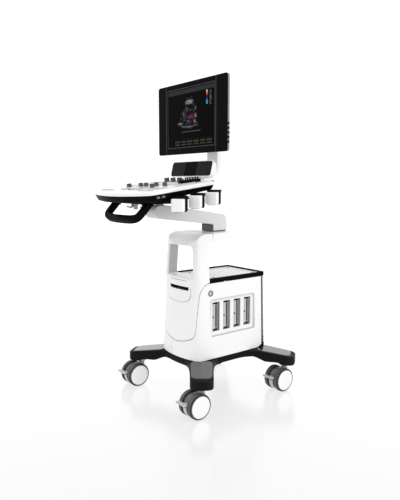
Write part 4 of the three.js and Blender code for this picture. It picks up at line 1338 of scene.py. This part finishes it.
def add_console_shell():
    outline = dense(inset(console_outline(), 0.2), 8)
    tub = plate([outline], soft_edge(0.6, SHELL_DEPTH, 6, 5), in_shell, 16)
    pod = plate([rounded_rect(-125, 125, -420, -214, 26, 8)], soft_edge(0.5, 30, 5, 5),
                from_top(846), 16)
    pocket = plate([inset(console_outline(), 5)], [(0, 0), (0, 30)], from_top(DECK + 4))
    spigot = lathe([(0, 786.5), (13, 786.5), (14, 788), (14, 826), (0, 826)], 40)
    spigot = shifted(spigot, 0, CONSOLE_PIVOT_Y)
    room = shifted(ball_shape(26.5, 12, 40), *BALL)
    carved_piece("console_shell", [tub, pod, spigot], [moved(pocket, CONSOLE), moved(room, CONSOLE)],
                 BLACK, "console", "console_base")
    studs = []
    for y in (34, 56):
        oval = [Vector((y + 7.5 * math.cos(a), -10 + 4.4 * math.sin(a))) for a in
                (k * math.pi / 14 for k in range(28))]
        studs.append(plate([oval], soft_edge(1.4, 6), from_right(210.6)))
    console_piece("edge_buttons", merged(*studs), GREY)
    hooks = [shifted(lathe([(0, 792), (7, 792), (8.5, 794), (8.5, 817), (0, 817)], 32), -12, -372)]
    for x, lean in ((-46, -14), (24, 12), (58, 16)):
        bar = curve_through([(x, -352, 817), (x + lean * 0.3, -358, 806), (x + lean, -368, 799),
                             (x + lean * 1.6, -380, 803)], 6)
        hooks.append(sweep(bar, rounded_rect(-8, 8, -2.6, 2.6, 2, 3)))
        hooks.append(block(x - 13, x + 13, -366, -340, 808, 816.6, 3))
    piece("cable_hooks", merged(*hooks), LIGHT, "console")
    dot = lathe([(0, 806), (4.5, 806), (4.5, 812), (0, 812)], 24)
    dots = [shifted(dot, x, -367.5) for x in (-38, 34, 66)]
    piece("hook_screws", merged(*dots), DARK, "console")


def add_keyboard():
    bed = plate([rounded_rect(-152, 152, 178, 256, 6)], soft_edge(0.6, 5), from_top(9))
    console_piece("key_bed", bed, GREY, "key_mat")
    keys, accents = [], []
    pitch_x, pitch_y = 21.2, 18.6
    for row in range(KEY_ROWS):
        y = 181 + row * pitch_y
        column = 0
        while column < KEY_COLUMNS:
            wide = 5 if row == 0 and column == 4 else 1
            x = -148.4 + column * pitch_x
            x1 = x + wide * pitch_x - 2.4
            cap = plate([rounded_rect(x, x1, y, y + pitch_y - 2.4, 2.4, 4)],
                        [(2.4, 0), (1.6, 0.3), (1.0, 1.1), (0.3, 4), (0, 7.4)], from_top(16.4))
            (accents if column in (0, 13) or row == 3 else keys).append(cap)
            column += wide
    console_piece("keys", merged(*keys), SHADE)
    console_piece("function_keys", merged(*accents), LIGHT)


def add_trackball():
    console_piece("ball", shifted(ball_shape(24.8, 16, 64), *BALL), BALL_GREY, "trackball",
                  "trackball")
    ring = lathe([(23.2, 12), (32, 12), (32, 14.6), (30.6, 15.8), (25.2, 15.8), (23.2, 14.4)], 64,
                 closed=True)
    console_piece("ball_ring", shifted(ring, BALL[0], BALL[1]), GREY)
    wings = []
    for side in (-1, 1):
        for low, high in ((44, 62), (65, 83), (86, 104)):
            near, far = sorted((side * 37, side * 62))
            wings.append(block(near, far, low, high, 11, 18.2, 2.2))
    console_piece("ball_keys", merged(*wings), LIGHT)
    pads = []
    for side in (-1, 1):
        for k in range(4):
            x = side * (104 + 24 * k)
            pads.append(block(x - 9, x + 9, 24, 36, 11, 17, 2))
    for k in range(6):
        x = 112 + (k % 3) * 26
        y = 66 + (k // 3) * 24
        pads.append(block(x - 9, x + 9, y - 7, y + 7, 11, 17, 2))
    for k in range(5):
        pads.append(block(-196 + k * 17, -183 + k * 17, 150, 163, 11, 16.6, 2))
    console_piece("soft_keys", merged(*pads), LIGHT)


def knurled(radius, low, high, ribs):
    """A round grip with upright ribs."""
    ring = []
    for k in range(ribs):
        for shift, reach in ((-0.3, radius - 0.7), (-0.12, radius), (0.12, radius),
                             (0.3, radius - 0.7)):
            angle = 2 * math.pi * (k + shift) / ribs
            ring.append(Vector((reach * math.cos(angle), reach * math.sin(angle))))
    return plate([ring], soft_edge(1.2, high - low, 0, 3), from_top(high))


def add_knob(name):
    place = on_deck(name)
    box = box_mm(name)
    radius = (box[1] - box[0]) / 2
    tall = place.y > 250
    stem = lathe([(0, -2), (3.4, -2), (3.4, 15), (0, 15)], 20)
    skirt = lathe([(0, 14.8), (radius - 0.4, 14.8), (radius, 15.4), (radius, 18),
                   (radius - 1.4, 19.4), (0, 19.6)], 48)
    top = 30 if tall else 28
    grip = knurled(radius - 1.6, 19, top, 26)
    cap = lathe([(0, top - 1), (radius - 3.6, top - 1), (radius - 3.8, top + 0.2),
                 (radius - 5, top + 0.5), (0, top - 0.4)], 40)
    mark = block(-0.9, 0.9, 1.5, radius - 4.6, top - 0.8, top + 0.45, 0.2)
    shape = shifted(merged(stem, skirt, grip), place.x, place.y)
    console_piece(f"{name}_grip", shape, SLATE, name, name)
    console_piece(f"{name}_cap", shifted(cap, place.x, place.y), LIGHT if tall else GREY,
                  (), name)
    console_piece(f"{name}_mark", shifted(mark, place.x, place.y), WHITE, (), name)


def add_slider_bank():
    place = on_deck("slider_bank")
    turn = Matrix.Translation((place.x, place.y, 0)) @ Matrix.Rotation(BANK_TURN, 4, "Z")
    body = block(-17, 17, -42, 42, 10, 25.6, 3)
    slots, levers = [], []
    for k in range(8):
        y = -34 + k * 9.7
        slots.append(block(-14, 14, y - 1.1, y + 1.1, 24.6, 25.9, 0.3))
        slide = 3.5 * math.sin(k * 1.3)
        levers.append(plate([rounded_rect(slide - 3.6, slide + 3.6, y - 2.6, y + 2.6, 1.4, 4)],
                            [(1.0, 0), (0.4, 0.4), (0, 1.4), (0.9, 4), (0.2, 8.6)], from_top(34)))
    console_piece("slider_block", moved(body, turn), BLACK, "slider_bank")
    console_piece("slider_slots", moved(merged(*slots), turn), DARK)
    console_piece("slider_levers", moved(merged(*levers), turn), BLACK)


def add_handle():
    right = [(118, -395, 817), (118, -412, 799), (117, -428, 782), (106, -438, 768),
             (80, -443, 762), (40, -445, 760)]
    left = [(-x, y, z) for x, y, z in reversed(right)]
    path = curve_through(right + [(0, -446, 760)] + left, 7)
    section = rounded_rect(-12.5, 12.5, -14, 14, 8, 7)
    grip = sweep(path, section, side=(0, -0.7, 0.7))
    feet = [block(x - 13, x + 13, -408, -382, 808, 817, 2.5) for x in (-118, 118)]
    piece("push_bar", merged(grip, *feet), BLACK, "console", "handle")


def add_console():
    add_console_top()
    add_console_shell()
    add_keyboard()
    add_trackball()
    for knob in ("gain", "mode_b", "mode_colour", "mode_pulse", "mode_m", "focus", "depth", "zoom",
                 "angle"):
        add_knob(f"knob_{knob}")
    add_slider_bank()
    add_handle()


# ------------------------------------------------------------------ probe cups and speaker
def cup_place(index):
    turn = Matrix.Rotation(math.radians(25), 4, "Z")
    return Matrix.Translation((236, -352 + 77 * index, 791 + 11 * index)) @ turn


def add_probe_cups():
    face = fillet([(-24, 0), (24, 0), (24, 47), (-24, 47)], [9, 9, 4, 4], 7)
    collar = rounded_rect(-22.8, 22.8, -1.6, 45.4, 9, 8)
    flare = [(2.4, 0), (1.0, 0.3), (0.2, 1.0), (0, 2.2), (0.3, 4.0), (1.4, 6.2), (2.2, 8.5), (2.3, 12),
             (2.3, 48), (3.2, 52), (6, 55), (10, 56)]
    bore = lathe([(0, 4), (14, 4), (15.5, 8), (16.2, 50), (18.6, 58), (0, 58)], 48)
    lip = block(-15, 15, -3.5, 6, -1.6, 3, 1.2)
    for index in range(3):
        place = cup_place(index)
        shell = plate([face], soft_edge(3.6, 17, 0.8, 5), from_front(-6))
        name = f"probe_cup_{index + 1}"
        piece(f"cup_face_{index + 1}", moved(shell, place), WHITE, "console", name)
        piece(f"cup_lip_{index + 1}", moved(lip, place), GREY, "console")
        sleeve = moved(plate([collar], flare, from_top(56)), place)
        carved_piece(f"cup_sleeve_{index + 1}", [sleeve], [moved(shifted(bore, 0, 22), place)], BLACK,
                     "console", "holder_rail" if index == 0 else ())
    rail = block(188, 208, 60, 286, -36, -26, 3)
    console_piece("cup_rail", rail, BLACK)


SPEAKER = Matrix.Translation((0, -114, 951)) @ Matrix.Rotation(math.radians(-14), 4, "X")


def add_speaker():
    outline = dense(rounded_rect(-136, 136, -33, 33, 16, 8), 10)

    def tapered(u, v, depth):
        share = max(0, depth / 34) ** 1.4
        return Vector((u * (1 - 0.1 * share), depth, v * (1 - 0.2 * share)))

    housing = plate([outline], soft_edge(2.2, 34, 7, 5), tapered, 16)
    piece("speaker_case", moved(housing, SPEAKER), WHITE, "console", "speaker_housing")
    # The neck is coloured pale grey as painted shadow below the speaker case.
    neck = block(-60, 60, -104, -90, 902, 942, 3)
    piece("speaker_neck_shade", neck, SHADE, "console")
    backing = plate([rounded_rect(-131.6, 131.6, -28.6, 28.6, 12, 8)], soft_edge(0.4, 1.6),
                    from_front(-1.2))
    piece("speaker_backing", moved(backing, SPEAKER), GREY, "console")
    centre = plate([rounded_rect(-43, 43, -29.6, 29.6, 1, 3)], soft_edge(0.9, 3), from_front(-2))
    piece("speaker_middle", moved(centre, SPEAKER), BLACK, "console", "speaker_panel")
    sides = []
    for side in (-1, 1):
        near, far = side * 44.4, side * 132.6
        corners = [(near, -29.6), (far, -29.6), (far, 29.6), (near, 29.6)]
        radii = [1, 12.6, 12.6, 1]
        if side < 0:
            corners, radii = corners[::-1], radii[::-1]
        sides.append(plate([fillet(corners, radii, 8)], soft_edge(0.9, 3), from_front(-2)))
    piece("speaker_grilles", moved(merged(*sides), SPEAKER), GRILLE, "console")


# ------------------------------------------------------------------ monitor arm
TILT_Y, TILT_Z = -24, 1150


def add_monitor_arm():
    outline = points((-54, 920), (-26, 920))
    outline += bezier((-26, 920), (20, 924), (22, 970), 12)[1:]
    outline += bezier((20, 1040), (18, 1090), (4, 1136), 10)
    outline += bezier((-12, 1136), (-4, 1090), (-3, 1040), 10)
    outline += points((-2, 974)) + bezier((-2, 974), (-3, 942), (-24, 937), 10)[1:] + points((-54, 935))
    band = plate([outline], soft_edge(3, 70, 3, 5), from_right(35))
    turret = lathe([(0, 903), (21.6, 903), (21.6, 934), (20, 936.6), (16, 937.4), (0, 937.4)], 48)
    base = lathe([(22.6, 916), (27, 916), (27, 921.5), (26, 922.6), (22.6, 922.6)], 48, closed=True)
    ear = along_x(lathe([(5, 0), (10, 0), (11, 1), (11, 15), (10, 16), (5, 16)], 32, closed=True))
    ears = []
    for x in (-34, 18):
        ears.append(shifted(ear, x, TILT_Y, TILT_Z))
        ears.append(block(x + 1, x + 15, -15, 2, 1130, 1157, 2))
    turret = shifted(turret, 0, MONITOR_PIVOT_Y)
    piece("arm_band", merged(band, turret, *ears), WHITE, "monitor_arm", "monitor_arm")
    piece("arm_turret_ring", shifted(base, 0, MONITOR_PIVOT_Y), LIGHT, "console")


# ------------------------------------------------------------------ screen picture
def calc(tree, operation, first, second=0.0, third=0.0):
    step = node(tree, "ShaderNodeMath", operation=operation)
    for socket, value in zip(step.inputs, (first, second, third)):
        if isinstance(value, (int, float)):
            socket.default_value = value
        else:
            tree.links.new(value, socket)
    return step.outputs[0]


def product(tree, first, *others):
    for other in others:
        first = calc(tree, "MULTIPLY", first, other)
    return first


def within(tree, value, low, high):
    """1 where the value lies between low and high, 0 elsewhere."""
    return calc(tree, "COMPARE", value, (low + high) / 2, (high - low) / 2)


def area(tree, u, v, box):
    return product(tree, within(tree, u, box[0], box[1]), within(tree, v, box[2], box[3]))


def blob(tree, u, v, centre, size):
    """1 in the middle of a soft round spot, 0 outside it."""
    du = calc(tree, "DIVIDE", calc(tree, "SUBTRACT", u, centre[0]), size[0])
    dv = calc(tree, "DIVIDE", calc(tree, "SUBTRACT", v, centre[1]), size[1])
    square = calc(tree, "ADD", product(tree, du, du), product(tree, dv, dv))
    return calc(tree, "MAXIMUM", calc(tree, "SUBTRACT", 1.0, square), 0.0)


# The picture's bright echoes, each with its middle, its half size and its gain, then its two tinted
# patches, and the colour scale's stops; places are shares of the picture's width and height.
ECHOES = [
    ((0.48, 0.775), (0.1, 0.035), 0.75), ((0.27, 0.405), (0.07, 0.022), 0.6),
    ((0.35, 0.56), (0.02, 0.08), 0.3), ((0.61, 0.52), (0.03, 0.05), 0.5),
    ((0.59, 0.42), (0.035, 0.035), 0.45), ((0.42, 0.64), (0.02, 0.05), 0.3),
    ((0.47, 0.335), (0.1, 0.022), 0.35), ((0.61, 0.65), (0.02, 0.05), 0.3),
]
TINTS = [
    ((0.51, 0.51), (0.07, 0.055), (0.42, 0.03, 0.13)),
    ((0.455, 0.43), (0.055, 0.03), (0.16, 0.18, 0.6)),
]
SCALE_STOPS = [
    (0.0, (0.1, 0.75, 0.35)), (0.2, (0.05, 0.45, 0.75)), (0.42, (0.0, 0.03, 0.25)),
    (0.52, (0.01, 0.0, 0.0)), (0.65, (0.7, 0.02, 0.02)), (0.82, (0.9, 0.3, 0.2)),
    (1.0, (1.0, 1.0, 0.8)),
]


def screen_surface(low, size):
    """A scan display: a speckled fan with a tinted patch, a colour scale and plain bars.
    low is the picture's lower left corner and size its width and height, in metres."""
    material, tree, shader = new_material("display")
    place = node(tree, "ShaderNodeTexCoord")
    split = node(tree, "ShaderNodeSeparateXYZ")
    tree.links.new(place.outputs["Object"], split.inputs["Vector"])
    u = calc(tree, "DIVIDE", calc(tree, "SUBTRACT", split.outputs["X"], low[0]), size[0])
    v = calc(tree, "DIVIDE", calc(tree, "SUBTRACT", split.outputs["Z"], low[1]), size[1])

    across = product(tree, calc(tree, "SUBTRACT", u, 0.47), size[0])
    down = product(tree, calc(tree, "SUBTRACT", 1.10, v), size[1])
    reach = calc(tree, "SQRT", calc(tree, "ADD", product(tree, across, across),
                                    product(tree, down, down)))
    angle = calc(tree, "ARCTAN2", across, down)
    fan = product(tree, within(tree, reach, 0.058, 0.182), within(tree, angle, -0.42, 0.34))
    speckle = ranged(tree, noise(tree, 300, 4), 0, 1, 0.46, 0.7)
    patches = ranged(tree, noise(tree, 75, 3), 0, 1, 0.47, 0.64)
    tissue = product(tree, speckle, patches, 0.2)
    bands = calc(tree, "MAXIMUM", within(tree, reach, 0.074, 0.085),
                 product(tree, within(tree, reach, 0.172, 0.178), 0.5))
    narrow = within(tree, angle, -0.3, 0.26)
    bright = product(tree, bands, narrow, calc(tree, "ADD", speckle, 0.2))
    grey = product(tree, fan, calc(tree, "ADD", tissue, product(tree, bright, 0.5)))
    for centre, extent, gain in ECHOES:
        spot = product(tree, blob(tree, u, v, centre, extent), calc(tree, "ADD", speckle, 0.3))
        grey = calc(tree, "MAXIMUM", grey, product(tree, spot, gain))
    for box, level in (((0.0, 1.0, 0.925, 1.0), 0.045), ((0.3, 0.72, 0.25, 0.258), 0.2)):
        grey = calc(tree, "MAXIMUM", grey, product(tree, area(tree, u, v, box), level))
    keys = product(tree, area(tree, u, v, (0.14, 0.98, 0.02, 0.12)),
                within(tree, calc(tree, "FRACT", product(tree, u, 7.2)), 0.08, 0.85))
    rows = within(tree, calc(tree, "FRACT", product(tree, v, 19.0)), 0.25, 0.8)
    keys = product(tree, keys, rows, ranged(tree, noise(tree, 260, 2), 0, 0.3))

    colour = blended(tree, grey, (0.0, 0.0, 0.0), (1.0, 1.0, 1.0))
    colour = blended(tree, keys, colour, (0.5, 0.5, 0.32))
    for centre, extent, tint in TINTS:
        patchy = ranged(tree, noise(tree, 170, 3), 0, 1.0, 0.4, 0.6)
        share = product(tree, blob(tree, u, v, centre, extent), patchy)
        colour = blended(tree, share, colour, tint)
    scale = node(tree, "ShaderNodeValToRGB")
    ramp = scale.color_ramp
    while len(ramp.elements) < len(SCALE_STOPS):
        ramp.elements.new(0.5)
    for element, (position, tint) in zip(ramp.elements, SCALE_STOPS):
        element.position = position
        element.color = (*tint, 1)
    tree.links.new(ranged(tree, v, 0, 1, 0.68, 0.91), scale.inputs["Fac"])
    colour = blended(tree, area(tree, u, v, (0.835, 0.865, 0.68, 0.91)), colour, scale.outputs["Color"])
    flecks = ranged(tree, noise(tree, 330, 2), 0, 0.45, 0.5, 0.62)
    marks = product(tree, area(tree, u, v, (0.9, 0.945, 0.66, 0.9)), flecks)
    colour = blended(tree, marks, colour, (0.6, 0.45, 0.4))

    settle(shader, {"Base Color": (0.0005, 0.0005, 0.0006, 1), "Roughness": 0.28,
                    "Specular IOR Level": 0.02, "Emission Strength": 0.62})
    tree.links.new(colour, shader.inputs["Emission Color"])
    return material


# ------------------------------------------------------------------ monitor
MONITOR_HALF, MONITOR_LOW, MONITOR_HIGH, MONITOR_FRONT = 228, 1012, 1299, -118
SCREEN_BOX = (-152, 152, 1044, 1272)


def monitor_outline(gap, radius=12):
    half = MONITOR_HALF - gap
    return rounded_rect(-half, half, MONITOR_LOW + gap, MONITOR_HIGH - gap, radius, 8)


def add_monitor():
    x0, x1, z0, z1 = SCREEN_BOX
    window = points((x0, z0), (x1, z0), (x1, z1), (x0, z1))
    face = plate([monitor_outline(0.2), hole(window)], soft_edge(1.6, 4.2, 0, 4),
                 from_front(MONITOR_FRONT))
    piece("monitor_face", face, BLACK, "monitor", "monitor_bezel")
    line_front = MONITOR_FRONT - 0.25
    ring = rounded_rect(x0 - 5.5, x1 + 5.5, z0 - 5.5, z1 + 5.5, 2, 3)
    lines = [plate([ring, hole(inset(ring, 1.3))], soft_edge(0.2, 0.8, 0, 2), from_front(line_front))]
    for x in (-169, 163):
        lines.append(block(x - 0.7, x + 0.7, line_front, MONITOR_FRONT + 1,
                           MONITOR_LOW + 3, MONITOR_HIGH - 3, 0.2))
    piece("bezel_lines", merged(*lines), SLATE, "monitor")

    low = TO_ROW @ Vector((x0, 0, z0))
    picture = screen_surface((low.x, low.z), ((x1 - x0) * MM, (z1 - z0) * MM))
    glass = plate([points((x0 - 3, z0 - 3), (x1 + 3, z0 - 3), (x1 + 3, z1 + 3), (x0 - 3, z1 + 3))],
                  [(0, 0), (0, 5)], from_front(MONITOR_FRONT + 1.6))
    piece("display", glass, picture, "monitor", "lcd_panel")

    rim = plate([monitor_outline(0.4), hole(monitor_outline(9, 6))], soft_edge(0.8, 9.4, 1.4),
                from_front(MONITOR_FRONT + 4.4))
    piece("monitor_rim", rim, MID, "monitor")
    middle_z = (MONITOR_LOW + MONITOR_HIGH) / 2
    deep = 47

    def bulged(u, v, depth):
        share = max(0, depth / deep) ** 1.25
        z = middle_z + (v - middle_z) * (1 - 0.32 * share)
        return Vector((u * (1 - 0.34 * share), MONITOR_FRONT + 12.8 + depth, z))

    layers = [(0, deep * k / 8) for k in range(8)] + [(1.0, deep - 2.4), (3.2, deep - 0.7), (6, deep)]
    shell = plate([dense(monitor_outline(4, 12), 14)], layers, bulged, 18)
    slots = []
    for k in range(13):
        x = -72 + 12 * k
        slots.append(block(x - 2.4, x + 2.4, -72, -50, 1214, 1242, 2))
        if abs(x) > 10:
            slots.append(block(x - 2.4, x + 2.4, -72, -50, 1068, 1092, 2))
    carved_piece("monitor_shell", [shell], [merged(*slots)], SLATE, "monitor",
                 "monitor_back")
    keys = [block(MONITOR_HALF - 3, MONITOR_HALF + 2.6, -113, -106.4, z - 4.6, z + 4.6, 1.6)
            for z in (1047, 1064, 1081, 1098, 1115)]
    piece("monitor_keys", merged(*keys), BLACK, "monitor")

    mount = block(-52, 52, -58.6, -50, 1108, 1204, 2.5)
    barrel = lathe([(0, 0), (9.4, 0), (10, 0.8), (10, 34), (9.4, 34.8), (0, 34.8)], 36)
    barrel = shifted(along_x(barrel), -17.4, TILT_Y, TILT_Z)
    web = block(-17.4, 17.4, -52, TILT_Y, 1142, 1158, 2)
    pin = lathe([(0, 0), (3.6, 0), (4.2, 0.6), (4.2, 71.4), (3.6, 72), (0, 72)], 28)
    pin = shifted(along_x(pin), -36, TILT_Y, TILT_Z)
    bolts = [rear_screw(4, x, -50, z) for x in (-42, 42) for z in (1118, 1194)]
    piece("monitor_mount", merged(mount, barrel, web), SLATE, "monitor", "monitor_yoke")
    piece("tilt_pin", merged(pin, *bolts), STEEL, "monitor")


# ------------------------------------------------------------------ assembly
def dress_cad(surfaces):
    """Materials for the CAD nodes that stay in view."""
    for name, surface in surfaces.items():
        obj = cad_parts[name]
        obj.data.materials.clear()
        obj.data.materials.append(surface)


dress_cad({
    "chassis_frame": STEEL, "column_frame": STEEL, "disc_drive": STEEL,
    "electronics_module": SLATE, "power_supply": STEEL,
})
add_base()
for caster, _, _ in CORNERS:
    add_caster(caster)
add_side_panels()
add_rear_cover()
add_front_cover()
add_drive_bezel()
add_tray()
add_ports()
add_power_button()
add_mains()
add_cap_and_post()
add_swing_arm()
add_console()
add_probe_cups()
add_speaker()
add_monitor_arm()
add_monitor()
